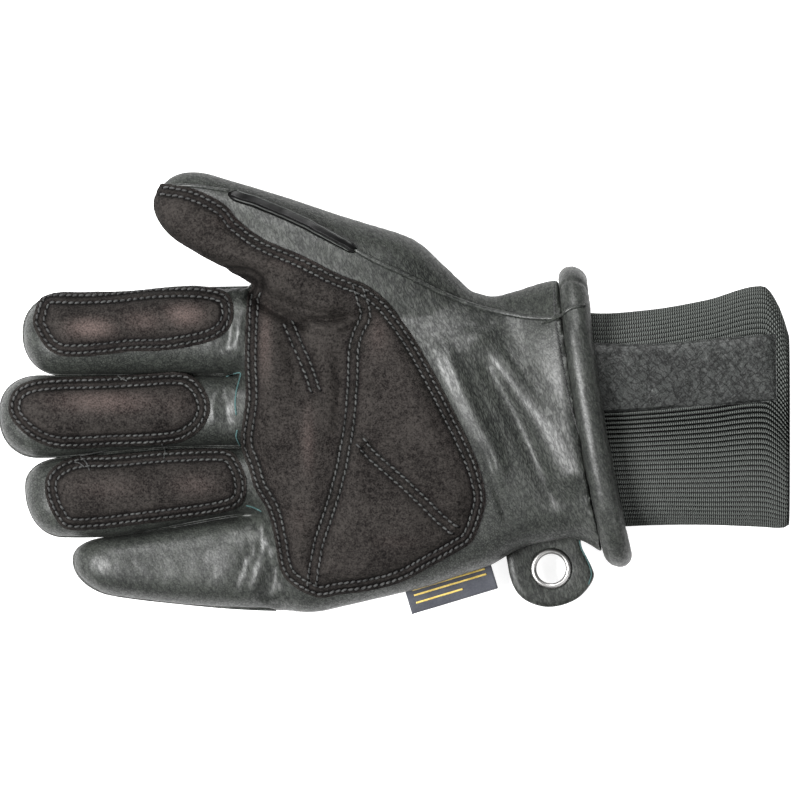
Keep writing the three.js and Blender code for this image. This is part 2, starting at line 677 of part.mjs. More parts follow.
const tabPlate = solidOf(tabBlock.translate(0, 0, tabLevel));
addPiece('hang_tab', geometryOf(tabPlate.subtract(palmTaken)), leatherColor, leatherRoughness);

const barrel = eyeletHole / 2;
const reach = tabThickness / 2 + clearance;
const eyeletProfile = [
  [barrel, -reach - eyeletMetal], [eyeletFlange / 2, -reach - eyeletMetal / 2],
  [eyeletFlange / 2, -reach], [barrel + eyeletMetal, -reach],
  [barrel + eyeletMetal, reach], [eyeletFlange / 2, reach],
  [eyeletFlange / 2, reach + eyeletMetal / 2], [barrel + eyeletMetal, reach + eyeletCrown],
  [barrel, reach + eyeletMetal], [barrel, -reach - eyeletMetal],
].map(([radius, high]) => new THREE.Vector2(radius, high));
const eyelet = new THREE.LatheGeometry(eyeletProfile, eyeletSides).rotateX(Math.PI / 2)
  .translate(eyeletPlace.x, eyeletPlace.y, tabLevel + tabThickness / 2);
addPiece('eyelet', geometryOf(solidOf(eyelet)), 0xc9cbcc, 0.25, 1);

// Folded label, its inner edge held at the side seam
const labelMiddle = labelStart * palmLength + labelLength / 2;
const labelSeat = grownSection(palmLimits(labelMiddle), { along: labelMiddle, squeeze: 1 }, clearance);
const seatTurn = THREE.MathUtils.degToRad(labelAngle);
const seatAcross = ((labelSeat.up - labelSeat.down) / 2) * Math.cos(seatTurn) ** (2 / squareness);
const seatHigh = ((labelSeat.top - labelSeat.low) / 2) * Math.abs(Math.sin(seatTurn)) ** (2 / squareness);
const labelPlate = new THREE.BoxGeometry(labelLength, labelDrop, labelThickness)
  .translate(0, -labelDrop / 2, labelThickness / 2)
  .rotateX(THREE.MathUtils.degToRad(labelTilt))
  .rotateZ(Math.atan2(palmLimits(labelMiddle + labelLength / 2).down
    - palmLimits(labelMiddle - labelLength / 2).down, labelLength))
  .translate(labelMiddle, (labelSeat.up + labelSeat.down) / 2 - seatAcross,
    (labelSeat.top + labelSeat.low) / 2 + seatHigh);
const label = solidOf(labelPlate).subtract(palmTaken).subtract(suedeTaken);
addPiece('side_label', geometryOf(label), 0x46484e, clothRoughness);

// The origin is on the floor under the middle of the whole glove
const whole = new THREE.Box3().setFromObject(group);
group.position.set(-(whole.min.x + whole.max.x) / 2, -(whole.min.y + whole.max.y) / 2, 0);

export default group;
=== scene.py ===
"""Looks of an insulated leather work glove for the right hand, lying on its back, palm up.

Metres in the row frame: fingers towards -X, thumb towards +Y, knit wrist towards +X, floor at z = 0.
The forms repeat the solids' own tables, in millimetres of the hand frame, whose x is 0 at the finger
roots. Curves on the palm side are given on a plan grid seen from above: 0.38 mm a unit, its first
coordinate along +X and its second along -Y.
"""

import logging
import math
from dataclasses import dataclass
from enum import Enum
from typing import Any, Mapping, Sequence, Union

import bpy
import numpy as np
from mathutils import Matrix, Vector, noise
from mathutils.bvhtree import BVHTree

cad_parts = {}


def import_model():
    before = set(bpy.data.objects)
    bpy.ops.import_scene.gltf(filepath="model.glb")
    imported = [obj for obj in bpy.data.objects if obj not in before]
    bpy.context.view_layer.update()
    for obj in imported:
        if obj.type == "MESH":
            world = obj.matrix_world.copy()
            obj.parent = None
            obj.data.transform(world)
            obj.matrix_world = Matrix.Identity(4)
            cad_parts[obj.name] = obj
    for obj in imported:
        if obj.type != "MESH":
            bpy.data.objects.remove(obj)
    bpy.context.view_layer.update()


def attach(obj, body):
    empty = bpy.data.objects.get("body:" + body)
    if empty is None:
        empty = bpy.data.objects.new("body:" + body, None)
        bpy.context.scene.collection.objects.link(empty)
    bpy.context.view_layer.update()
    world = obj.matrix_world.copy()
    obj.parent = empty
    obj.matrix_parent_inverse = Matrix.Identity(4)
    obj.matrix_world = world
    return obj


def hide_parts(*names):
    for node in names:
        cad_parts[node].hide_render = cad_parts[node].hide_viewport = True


log = logging.getLogger("glove")

Array = np.ndarray
Rows = Sequence[Mapping[str, float]]
Line = Sequence[tuple[float, float]]
Part = tuple[Array, list[tuple[int, ...]]]

MM = 1e-3
PLAN_UNIT = 0.38 * MM
PLAN_ORIGIN = (394.757, 394.076)
HAND_SHIFT = (-58.807, -20.491)


def table(columns: str, *rows: Sequence[float]) -> Rows:
    """Rows of numbers with named columns."""
    names = columns.split()
    return [dict(zip(names, row)) for row in rows]


PALM_ROWS = table(
    "at up down low top lean",
    (0.0, 0.49, -0.49, -0.04, 0.8, 0.73),
    (0.066, 0.497, -0.5, -0.04, 0.82, 0.73),
    (0.18, 0.503, -0.5, -0.05, 0.89, 0.5),
    (0.323, 0.503, -0.478, -0.05, 0.95, 0.15),
    (0.467, 0.503, -0.447, -0.05, 1.0, 0),
    (0.569, 0.5, -0.42, -0.05, 1.01, 0),
    (0.659, 0.49, -0.389, -0.05, 1.0, 0),
    (0.749, 0.463, -0.355, -0.04, 0.96, 0.05),
    (0.823, 0.475, -0.303, -0.02, 0.93, 0.3),
    (0.898, 0.496, -0.282, 0, 0.95, 0.6),
    (0.946, 0.506, -0.28, 0.03, 1.0, 0.85),
    (1.0, 0.515, -0.322, 0.07, 1.07, 1),
)
FINGER_LINES = table(
    "at a b c d e",
    (-0.26, 0.497, 0.228, 0.003, -0.19, -0.5),
    (0, 0.494, 0.224, 0.004, -0.204, -0.493),
    (0.25, 0.488, 0.224, 0.003, -0.236, -0.477),
    (0.5, 0.472, 0.222, -0.011, -0.268, -0.455),
    (0.75, 0.472, 0.222, -0.028, -0.273, -0.42),
    (1, 0.46, 0.222, -0.03, -0.27, -0.39),
)
FINGER_ROWS = table(
    "at low top",
    (-0.3, 0.05, 0.98),
    (0, -0.04, 1.08),
    (0.2, -0.04, 1.03),
    (0.5, -0.03, 1.0),
    (0.75, 0.02, 0.98),
    (1, 0.08, 0.94),
)
THUMB_ROWS = table(
    "at up down low top",
    (0, 0.44, -0.25, 0.24, 0.93),
    (0.136, 0.485, -0.29, 0.2, 0.95),
    (0.25, 0.56, -0.325, 0.17, 0.98),
    (0.364, 0.625, -0.355, 0.12, 1.01),
    (0.476, 0.67, -0.375, 0.08, 1.04),
    (0.627, 0.76, -0.36, 0.04, 1.06),
    (0.757, 0.815, -0.28, 0.02, 1.04),
    (0.867, 0.72, -0.22, 0.03, 0.97),
    (1, 0.56, -0.2, 0.08, 0.85),
)
CUFF_ROWS = table(
    "at up down drop lean",
    (-0.04, 0.5, -0.52, 0, 0.8),
    (0.26, 0.51, -0.51, 0.3, 0.4),
    (0.56, 0.558, -0.51, 0.8, 0.1),
    (0.86, 0.625, -0.52, 1, 0),
    (0.94, 0.54, -0.525, 1, 0),
    (1, 0.4, -0.52, 0.98, 0),
)
PALM_SUEDE: Line = [
    (0.027, 0.506), (0.021, 0.454), (0.015, 0.27), (0.018, 0.15), (0.003, 0.018), (0.027, -0.061),
    (0.045, -0.123), (0.084, -0.193), (0.105, -0.279), (0.123, -0.374), (0.168, -0.426),
    (0.237, -0.457), (0.299, -0.447), (0.389, -0.435), (0.485, -0.408), (0.569, -0.362),
    (0.644, -0.319), (0.695, -0.282), (0.725, -0.205), (0.734, -0.144), (0.713, -0.052),
    (0.674, 0.04), (0.629, 0.132), (0.575, 0.239), (0.524, 0.331), (0.479, 0.398),
    (0.434, 0.454), (0.374, 0.5), (0.299, 0.53), (0.18, 0.591), (0.075, 0.637),
    (0, 0.693), (-0.045, 0.745), (-0.135, 0.791), (-0.225, 0.809), (-0.314, 0.809),
    (-0.314, 0.637), (-0.15, 0.53),
]
SEAM_LINE: Line = (
    (157, 196), (164, 190), (180, 186.5), (200, 187.5), (215, 190), (229, 192), (260, 201), (295, 215),
    (330, 233), (352, 246), (361, 254), (380, 264), (400, 273), (420, 283), (440, 293), (470, 305),
    (500, 313), (530, 318), (558, 319),
)


class Look(Enum):
    """Material slots of the record."""

    LEATHER = "grain_leather"
    SUEDE = "palm_suede"
    RUBBER = "wiper_rubber"
    KNIT = "knit"
    CUFF_LEATHER = "cuff_leather"
    LABEL = "label_weave"
    METAL = "eyelet_metal"


# Numbers and points


def plan(points: Line) -> Array:
    """Points of the plan grid as metres in the row frame, one row each."""
    grid = np.asarray(points, float)
    return np.stack([grid[:, 0] - PLAN_ORIGIN[0], PLAN_ORIGIN[1] - grid[:, 1]], 1) * PLAN_UNIT


def from_hand(points: Array) -> Array:
    """Points of the hand frame in millimetres as metres in the row frame."""
    moved = np.array(points, float)
    moved[..., 0] += HAND_SHIFT[0]
    moved[..., 1] += HAND_SHIFT[1]
    return moved * MM


def smooth_step(value: Array, start: float, end: float) -> Array:
    """Smooth rise from 0 at start to 1 at end."""
    t = np.clip((value - start) / (end - start), 0, 1)
    return t * t * (3 - 2 * t)


def unit(vectors: Array) -> Array:
    """Vectors in rows, each brought to a length of 1."""
    return vectors / np.maximum(np.linalg.norm(vectors, axis=-1, keepdims=True), 1e-9)


def left_of(ahead: Array) -> Array:
    """Directions in plan turned a quarter to the left."""
    return np.stack([-ahead[:, 1], ahead[:, 0]], 1)


def run_of(line: Array) -> Array:
    """Length of a line up to each of its points."""
    return np.concatenate([[0], np.cumsum(np.linalg.norm(np.diff(line, axis=0), axis=1))])


def at_runs(line: Array, run: Array, stops: Array) -> Array:
    """Points of a line at given lengths along it."""
    return np.stack([np.interp(stops, run, column) for column in line.T], 1)


def between(rows: Rows, column: str, at: Array) -> Array:
    """Column of a table at any places, smooth through its rows.

    Args:
        rows: The table, sorted by its "at" column.
        column: Name of the column to read.
        at: Places to read it at.

    Returns:
        One value for each place.
    """
    place = np.atleast_1d(np.asarray(at, float))
    ats = np.array([row["at"] for row in rows], float)
    values = np.array([row[column] for row in rows], float)
    last = len(rows) - 1
    before = np.maximum(np.arange(last + 1) - 1, 0)
    after = np.minimum(np.arange(last + 1) + 1, last)
    slopes = (values[after] - values[before]) / (ats[after] - ats[before])
    k = np.clip(np.searchsorted(ats, place, side="left") - 1, 0, last - 1)
    span = ats[k + 1] - ats[k]
    t = np.clip((place - ats[k]) / span, 0, 1)
    keep = 2 * t**3 - 3 * t**2 + 1
    bend_from = (t**3 - 2 * t**2 + t) * span
    bend_to = (t**3 - t**2) * span
    return keep * values[k] + (1 - keep) * values[k + 1] + bend_from * slopes[k] + bend_to * slopes[k + 1]


def catmull(points: Array, closed: bool, step: float) -> Array:
    """Smooth line through points, resampled evenly.

    Args:
        points: Corner points, one row each.
        closed: Whether the line returns to its first point.
        step: Distance between two points of the result.

    Returns:
        The resampled points; a closed line doesn't repeat its first.
    """
    base = np.asarray(points, float)
    if closed:
        knots = np.vstack([base[-1], base, base[0], base[1]])
    else:
        knots = np.vstack([2 * base[0] - base[1], base, 2 * base[-1] - base[-2]])
    t = np.linspace(0, 1, 24, endpoint=False)[:, None]
    pieces = []
    for a, b, c, d in zip(knots, knots[1:], knots[2:], knots[3:]):
        bend = (2 * a - 5 * b + 4 * c - d) * t**2 + (3 * b - a - 3 * c + d) * t**3
        pieces.append(0.5 * (2 * b + (c - a) * t + bend))
    dense = np.vstack(pieces + [knots[-2:-1]])
    run = run_of(dense)
    count = max(int(round(run[-1] / step)), 2)
    even = at_runs(dense, run, np.linspace(0, run[-1], count + 1))
    return even[:-1] if closed else even


def inset(line: Array, distance: float) -> Array:
    """Closed counter-clockwise line moved inwards by a small distance."""
    return line + distance * left_of(unit(np.roll(line, -2, axis=0) - np.roll(line, 2, axis=0)))


def aside(line: Array, distance: float) -> Array:
    """Open line moved to its left by a distance."""
    return line + distance * left_of(unit(np.gradient(line, axis=0)))


def counter_clockwise(line: Array) -> Array:
    """The closed line, turned round if it runs clockwise."""
    ahead = np.roll(line, -1, axis=0)
    area = np.sum(line[:, 0] * ahead[:, 1] - ahead[:, 0] * line[:, 1])
    return line if area > 0 else line[::-1].copy()


def reach(places: Array, line: Array, closed: bool = False) -> tuple[Array, Array]:
    """Distance from places to a line, and how far along the line each is nearest.

    Args:
        places: Places in plan, one row each.
        line: Points of the line.
        closed: Whether the line returns to its first point.

    Returns:
        The distances, and the share of the line's length at the nearest point.
    """
    points = np.vstack([line, line[:1]]) if closed else line
    best = np.full(len(places), 1e9)
    share = np.zeros(len(places))
    lengths = np.linalg.norm(np.diff(points, axis=0), axis=1)
    run = run_of(points)
    for k, (start, end) in enumerate(zip(points[:-1], points[1:])):
        span = end - start
        t = np.clip((places - start) @ span / max(span @ span, 1e-18), 0, 1)
        far = np.linalg.norm(places - start - t[:, None] * span, axis=1)
        closer = far < best
        best[closer] = far[closer]
        share[closer] = (run[k] + t[closer] * lengths[k]) / run[-1]
    return best, share


def lumps(points: Array, size: Union[float, tuple[float, float, float]], seed: float = 0) -> Array:
    """Smooth noise from -1 to 1 at points.

    Args:
        points: Points in metres, one row each.
        size: Length of its lumps in metres, or one for each direction.
        seed: Place in the noise to read from.

    Returns:
        One value for each point.
    """
    scaled = np.asarray(points) / np.asarray(size) + seed * 7.31
    return np.array([noise.noise(Vector(point)) for point in scaled])


def wrinkles(points: Array, turn: float, across: float, along: float, seed: float = 0) -> Array:
    """Sharp valleys between rounded ridges, drawn out in one direction.

    Args:
        points: Points in metres, one row each.
        turn: Direction of the ridges in plan, in degrees from +X.
        across: Distance from ridge to ridge.
        along: Length of a ridge.
        seed: Place in the noise to read from.

    Returns:
        Heights from -1 in the valleys to about 0.3 on the ridges.
    """
    angle = math.radians(turn)
    along_it = points[:, 0] * math.cos(angle) + points[:, 1] * math.sin(angle)
    across_it = points[:, 1] * math.cos(angle) - points[:, 0] * math.sin(angle)
    warped = across_it + lumps(points, along * 0.8, seed + 3) * across * 0.8
    field = lumps(np.stack([along_it, warped, points[:, 2]], 1), (along, across, along), seed)
    return np.minimum(np.abs(field) * 4, 1.3) - 1


# Meshes


def build(name: str, points: Array, faces: Sequence[Sequence[int]]) -> bpy.types.Object:
    """New smooth mesh object in the scene."""
    mesh = bpy.data.meshes.new(name)
    mesh.from_pydata(np.asarray(points, float).reshape(-1, 3).tolist(), [], [tuple(f) for f in faces])
    mesh.polygons.foreach_set("use_smooth", [True] * len(mesh.polygons))
    obj = bpy.data.objects.new(name, mesh)
    bpy.context.scene.collection.objects.link(obj)
    return obj


def numbers(items: Any, name: str, wide: int, kind: type) -> Array:
    """One property of all items of a mesh, a row for each."""
    values = np.zeros(len(items) * wide, kind)
    items.foreach_get(name, values)
    return values.reshape(-1, wide)


def places_of(obj: bpy.types.Object) -> Array:
    """Vertex positions of a mesh object."""
    return numbers(obj.data.vertices, "co", 3, float)


def normals_of(obj: bpy.types.Object) -> Array:
    """Vertex normals of a mesh object."""
    return numbers(obj.data.vertex_normals, "vector", 3, np.float32).astype(float)


def put(obj: bpy.types.Object, points: Array) -> None:
    """Move a mesh object's vertices to new positions."""
    obj.data.vertices.foreach_set("co", np.asarray(points, float).ravel())
    obj.data.update()


def relax(obj: bpy.types.Object, weight: Array, rounds: int) -> None:
    """Even out a mesh by moving its vertices towards their neighbours' middle.

    Args:
        obj: The mesh object.
        weight: Share of each move for each vertex, from 0 to 1.
        rounds: How many times to move them.
    """
    points = places_of(obj)
    a, b = numbers(obj.data.edges, "vertices", 2, np.int32).T
    size = len(points)
    count = np.maximum(np.bincount(a, minlength=size) + np.bincount(b, minlength=size), 1)
    for _ in range(rounds):
        total = np.stack(
            [np.bincount(a, points[b, k], size) + np.bincount(b, points[a, k], size) for k in range(3)], 1
        )
        points += (weight * 0.5)[:, None] * (total / count[:, None] - points)
    put(obj, points)


def attribute(obj: bpy.types.Object, name: str, values: Array) -> None:
    """Store one number for each vertex."""
    layer = obj.data.attributes.new(name, "FLOAT", "POINT")
    layer.data.foreach_set("value", np.asarray(values, np.float32))


def ring_faces(rings: int, sides: int, hoop: bool = False) -> list[tuple[int, ...]]:
    """Faces between rings of equal count.

    Args:
        rings: Number of rings.
        sides: Points in each ring.
        hoop: Whether the last ring joins the first; otherwise the two end rings are closed.

    Returns:
        The faces, wound to look outwards for rings that turn from +Y to +Z, along +X.
    """
    faces: list[tuple[int, ...]] = []
    for k in range(rings if hoop else rings - 1):
        here, ahead = k * sides, ((k + 1) % rings) * sides
        for i in range(sides):
            j = (i + 1) % sides
            faces.append((here + i, here + j, ahead + j, ahead + i))
    if not hoop:
        faces.append(tuple(range(sides - 1, -1, -1)))
        faces.append(tuple(range((rings - 1) * sides, rings * sides)))
    return faces


def applied(obj: bpy.types.Object) -> bpy.types.Object:
    """The object with its modifiers made real."""
    mesh = bpy.data.meshes.new_from_object(obj.evaluated_get(bpy.context.evaluated_depsgraph_get()))
    obj.modifiers.clear()
    old, obj.data = obj.data, mesh
    bpy.data.meshes.remove(old)
    return obj


def remeshed(obj: bpy.types.Object, size: float) -> bpy.types.Object:
    """The object rebuilt of even voxels of a size."""
    change = obj.modifiers.new("remesh", "REMESH")
    change.mode = "VOXEL"
    change.voxel_size = size
    return applied(obj)


def duplicate(obj: bpy.types.Object, name: str) -> bpy.types.Object:
    """A copy of a mesh object with a mesh of its own."""
    copy = obj.copy()
    copy.data = obj.data.copy()
    copy.name = name
    bpy.context.scene.collection.objects.link(copy)
    return copy


def cut(obj: bpy.types.Object, tool: bpy.types.Object, operation: str) -> bpy.types.Object:
    """Boolean of obj with tool, applied; the tool stays."""
    bpy.context.view_layer.update()
    change = obj.modifiers.new("cut", "BOOLEAN")
    change.operation = operation
    change.solver = "MANIFOLD"
    change.object = tool
    return applied(obj)


def discard(*objects: bpy.types.Object) -> None:
    """Remove helper objects from the scene."""
    for obj in objects:
        bpy.data.objects.remove(obj)


def joined(name: str, parts: Sequence[Part]) -> bpy.types.Object:
    """One object from several point and face lists."""
    points, faces, start = [], [], 0
    for some, some_faces in parts:
        flat = np.asarray(some, float).reshape(-1, 3)
        points.append(flat)
        faces.extend(tuple(start + i for i in face) for face in some_faces)
        start += len(flat)
    return build(name, np.vstack(points), faces)


def tube(line: Array, radius: Union[float, Array], sides: int = 8) -> Part:
    """Round tube along a line of points, with closed ends.

    Args:
        line: Points in 3-D, one row each.
        radius: Its radius, or one radius for each point.
        sides: Points round it.

    Returns:
        Its points and faces.
    """
    ahead = unit(np.gradient(line, axis=0))
    across = unit(np.cross(ahead, np.array([0.0, 0.0, 1.0])))
    upward = np.cross(across, ahead)
    turn = np.linspace(0, 2 * math.pi, sides, endpoint=False)
    size = np.broadcast_to(np.asarray(radius, float), len(line))[:, None, None]
    wheel = across[:, None] * np.cos(turn)[None, :, None] + upward[:, None] * np.sin(turn)[None, :, None]
    return line[:, None] + size * wheel, ring_faces(len(line), sides)


class Ground:
    """A finished surface that other pieces are laid on from above."""

    def __init__(self, *objects: bpy.types.Object) -> None:
        """Gather the faces of the objects into one search tree."""
        points, faces, start = [], [], 0
        for obj in objects:
            points.extend(places_of(obj).tolist())
            faces.extend(tuple(start + i for i in face.vertices) for face in obj.data.polygons)
            start = len(points)
        self.tree = BVHTree.FromPolygons(points, faces)

    def drop(self, places: Array) -> tuple[Array, Array, Array]:
        """Drop places from above onto the surface.

        Args:
            places: Places in plan, one row each.

        Returns:
            The points hit, the normals there, and whether each place hit anything.
        """
        hits = np.zeros((len(places), 3))
        normals = np.tile([0.0, 0.0, 1.0], (len(places), 1))
        found = np.zeros(len(places), bool)
        down = Vector((0, 0, -1))
        for k, (x, y) in enumerate(places):
            hit, normal, _, _ = self.tree.ray_cast(Vector((x, y, 0.1)), down)
            if hit is not None:
                hits[k], normals[k], found[k] = hit, normal, True
        return hits, normals, found


# Materials


class Wire:
    """A socket of a material, with the maths on it written as an expression."""

    def __init__(self, graph: "Graph", socket: bpy.types.NodeSocket) -> None:
        """Wrap one output socket."""
        self.graph = graph
        self.socket = socket

    def math(self, operation: str, *values: "Value") -> "Wire":
        """One Math node."""
        return self.graph.node("ShaderNodeMath", {"operation": operation}, dict(enumerate(values)))

    def __add__(self, other: "Value") -> "Wire":
        """This plus other."""
        return self.math("ADD", self, other)

    __radd__ = __add__

    def __sub__(self, other: "Value") -> "Wire":
        """This minus other."""
        return self.math("SUBTRACT", self, other)

    def __rsub__(self, other: "Value") -> "Wire":
        """Other minus this."""
        return self.math("SUBTRACT", other, self)

    def __mul__(self, other: "Value") -> "Wire":
        """This times other."""
        return self.math("MULTIPLY", self, other)

    __rmul__ = __mul__

    def __truediv__(self, other: "Value") -> "Wire":
        """This divided by other."""
        return self.math("DIVIDE", self, other)

    def sine(self) -> "Wire":
        """Sine of this."""
        return self.math("SINE", self)

    def size(self) -> "Wire":
        """This without its sign."""
        return self.math("ABSOLUTE", self)

    def ramp(self, low: float, high: float) -> "Wire":
        """Smooth rise of this from 0 at low to 1 at high."""
        settings = {"interpolation_type": "SMOOTHSTEP"}
        inputs = {"Value": self, "From Min": low, "From Max": high}
        return self.graph.node("ShaderNodeMapRange", settings, inputs)


Value = Union[Wire, float, int, tuple]


class Graph:
    """The nodes of one material."""

    def __init__(self, name: str) -> None:
        """Start a material with one shader and its output."""
        self.material = bpy.data.materials.new(name)
        self.material.use_nodes = True
        self.tree = self.material.node_tree
        self.tree.nodes.clear()
        output = self.tree.nodes.new("ShaderNodeOutputMaterial")
        self.shader = self.tree.nodes.new("ShaderNodeBsdfPrincipled")
        self.tree.links.new(self.shader.outputs["BSDF"], output.inputs["Surface"])

    def node(self, kind: str, settings: Mapping[str, Any], inputs: Mapping[Any, Value], out: Any = 0) -> Wire:
        """Add any node.

        Args:
            kind: The node's type.
            settings: Its settings, set first; "stops" are a ramp's places and colours.
            inputs: Values or wires of its sockets, by name or number.
            out: Name or number of the output to use.

        Returns:
            That output.
        """
        new = self.tree.nodes.new(kind)
        for key, value in settings.items():
            if key == "stops":
                ramp = new.color_ramp
                while len(ramp.elements) < len(value):
                    ramp.elements.new(0.5)
                for element, (place, color) in zip(ramp.elements, value):
                    element.position = place
                    element.color = (*color, 1)
            else:
                setattr(new, key, value)
        for key, value in inputs.items():
            if isinstance(value, Wire):
                self.tree.links.new(value.socket, new.inputs[key])
            else:
                new.inputs[key].default_value = value
        return Wire(self, new.outputs[out])

    def place(self) -> Wire:
        """Position on the object, in metres of the row frame."""
        return self.node("ShaderNodeTexCoord", {}, {}, "Object")

    def stretched(self, turn: float, scale: tuple[float, float, float]) -> Wire:
        """Position turned about Z by an angle in degrees, then scaled."""
        inputs = {"Vector": self.place(), "Angle": math.radians(turn)}
        turned = self.node("ShaderNodeVectorRotate", {"rotation_type": "Z_AXIS"}, inputs)
        return self.node("ShaderNodeVectorMath", {"operation": "MULTIPLY"}, {0: turned, 1: scale})

    def noise(self, scale: float, detail: float, rough: float, at: Union[Wire, None] = None) -> Wire:
        """Noise from 0 to 1, its scale in cells a metre."""
        where = self.place() if at is None else at
        inputs = {"Vector": where, "Scale": scale, "Detail": detail, "Roughness": rough}
        return self.node("ShaderNodeTexNoise", {}, inputs)

    def cells(self, scale: float) -> Wire:
        """Distance from the edges of a pattern of cells, as of leather grain."""
        inputs = {"Vector": self.place(), "Scale": scale}
        return self.node("ShaderNodeTexVoronoi", {"feature": "DISTANCE_TO_EDGE"}, inputs, "Distance")

    def creases(self, turn: float, scale: tuple[float, float, float], wide: float) -> Wire:
        """Wavy crease lines, 0 in them and 1 between them, drawn out along a direction."""
        field = self.noise(1, 2, 0.5, self.stretched(turn, scale))
        return ((field - 0.5).size() / wide).ramp(0, 1)

    def stored(self, name: str) -> Wire:
        """Number stored on the vertices."""
        return self.node("ShaderNodeAttribute", {"attribute_name": name}, {}, "Fac")

    def mix(self, share: Value, first: Value, second: Value) -> Wire:
        """Colour between two colours."""
        settings = {"data_type": "RGBA"}
        return self.node("ShaderNodeMix", settings, {0: share, 6: first, 7: second}, 2)

    def bump(self, height: Wire, strength: float, distance: float) -> Wire:
        """Normal from a height."""
        inputs = {"Height": height, "Strength": strength, "Distance": distance}
        return self.node("ShaderNodeBump", {}, inputs, "Normal")

    def finish(self, **inputs: Value) -> bpy.types.Material:
        """Set the shader's sockets, underscores for spaces, and return the material."""
        for key, value in inputs.items():
            socket = self.shader.inputs[key.replace("_", " ")]
            if isinstance(value, Wire):
                self.tree.links.new(value.socket, socket)
            else:
                socket.default_value = value
        return self.material


Color = tuple[float, float, float, float]


@dataclass(frozen=True)
class LeatherFinish:
    """Satin grain leather with pebbles, drawn out into fine parallel creases where it is folded; its colour
    is painted darker in the cracks and crease lines, as shade.
    """

    name: str = "grain_leather"
    dark: Color = (0.004, 0.0048, 0.0042, 1)
    light: Color = (0.023, 0.0258, 0.0218, 1)
    rough: float = 0.45
    pebbles: float = 1000
    turn: float = 66
    depth: float = 0.75 * MM
    sheen: float = 0.95
    net: float = 0.0

    def make(self) -> bpy.types.Material:
        """Build the material."""
        g = Graph(self.name)
        mask = g.stored("crease")
        matte = g.stored("matte")
        round_ones = g.cells(self.pebbles).ramp(0, 0.36) * 0.6 + g.creases(20, (420, 560, 500), 0.14) * 0.4
        fine = g.creases(self.turn, (250, 760, 600), 0.15)
        finer = g.creases(self.turn + 24, (330, 980, 700), 0.15)
        long_ones = fine * 0.65 + finer * 0.35
        broad_ones = g.creases(self.turn - 14, (150, 380, 330), 0.06)
        broad = broad_ones * g.creases(self.turn - 95, (140, 340, 300), 0.05)
        waves = g.noise(330, 3, 0.6)
        patches = g.noise(60, 4, 0.6)
        pebble = round_ones * (1 - mask) + long_ones * mask
        height = pebble * (0.7 + mask * 0.4 + matte * 0.1) + broad * self.net + waves * 0.22
        open_skin = (0.4 + pebble * 0.6) * (1 - (1 - broad) * self.net * 0.6) * (0.75 + patches * 0.5)
        # Painted shade: pebble and broad fall to 0 in the cracks and crease lines, so the colour darkens
        # there; patches is random tone.
        tone = patches * 0.45 + pebble * 0.35 + broad * 0.2
        return g.finish(
            Base_Color=g.mix(tone.ramp(0.2, 0.85), self.dark, self.light),
            Roughness=self.rough + 0.2 + (1 - pebble) * 0.2 + (patches - 0.5) * 0.14,
            Specular_IOR_Level=0.12,
            Coat_Weight=open_skin * (1 - matte * 0.5) * self.sheen,
            Coat_Roughness=self.rough,
            Normal=g.bump(height, 0.7, self.depth),
        )


@dataclass(frozen=True)
class SuedeFinish:
    """Matt napped leather, greasy dark, with brown-red places that are partly real wear and partly painted
    highlight, and painted shade along the seams.
    """

    name: str = "suede"
    dark: Color = (0.0030, 0.0026, 0.0025, 1)
    light: Color = (0.0265, 0.0236, 0.0217, 1)
    worn_and_lit: Color = (0.082, 0.061, 0.056, 1)

    def make(self) -> bpy.types.Material:
        """Build the material."""
        g = Graph(self.name)
        nap = g.noise(1500, 4, 0.75)
        blots = g.noise(620, 3, 0.7)
        fibre = g.noise(3600, 3, 0.6)
        patches = g.noise(75, 4, 0.65)
        tone = (patches * 0.22 + nap * 0.48 + blots * 0.3).ramp(0.38, 0.62)
        # Brown-red places: partly real wear, partly painted highlight and sheen.
        wear = (g.stored("wear") * (nap * 1.5 - 0.25)).ramp(0.02, 0.75)
        # Painted shade: the colour darkens along the stitched seam grooves.
        seam = g.stored("seam")
        plain = g.mix(tone * (1 - seam * 0.7), self.dark, self.light)
        return g.finish(
            Base_Color=g.mix(wear * (1 - seam * 0.7), plain, self.worn_and_lit),
            Roughness=0.82 - wear * 0.12,
            Specular_IOR_Level=0.04,
            Normal=g.bump(nap * 0.7 + fibre * 0.4 + blots * 0.7, 0.8, 0.5 * MM),
        )


@dataclass(frozen=True)
class KnitFinish:
    """Ribbed knit: columns of small V loops along each rib, with a little fuzz; its colour is painted darker
    in the grooves between ribs and loops, as shade.
    """

    name: str = "rib_knit"
    dark: Color = (0.0018, 0.0020, 0.0019, 1)
    light: Color = (0.092, 0.099, 0.093, 1)
    loop: float = 0.8 * MM

    def make(self) -> bpy.types.Material:
        """Build the material."""
        g = Graph(self.name)
        along = g.stored("along")
        lean = g.stored("rib")
        wave = ((along / self.loop + lean * 0.6) * (2 * math.pi)).sine() * 0.5 + 0.5
        crown = 1 - lean * lean * 1.15
        fuzz = g.noise(2400, 3, 0.6)
        height = wave * (0.3 + crown * 0.7)
        # Painted shade: the colour follows the bump, dark off the rib crowns and between the loops; fuzz is
        # random tone.
        tone = crown * (wave * 0.68 + 0.32) + (fuzz - 0.5) * 0.4
        return g.finish(
            Base_Color=g.mix(tone.ramp(0.16, 0.85), self.dark, self.light),
            Roughness=0.88 - fuzz * 0.1,
            Specular_IOR_Level=0.05,
            Normal=g.bump(height + fuzz * 0.3, 0.85, 0.55 * MM),
        )


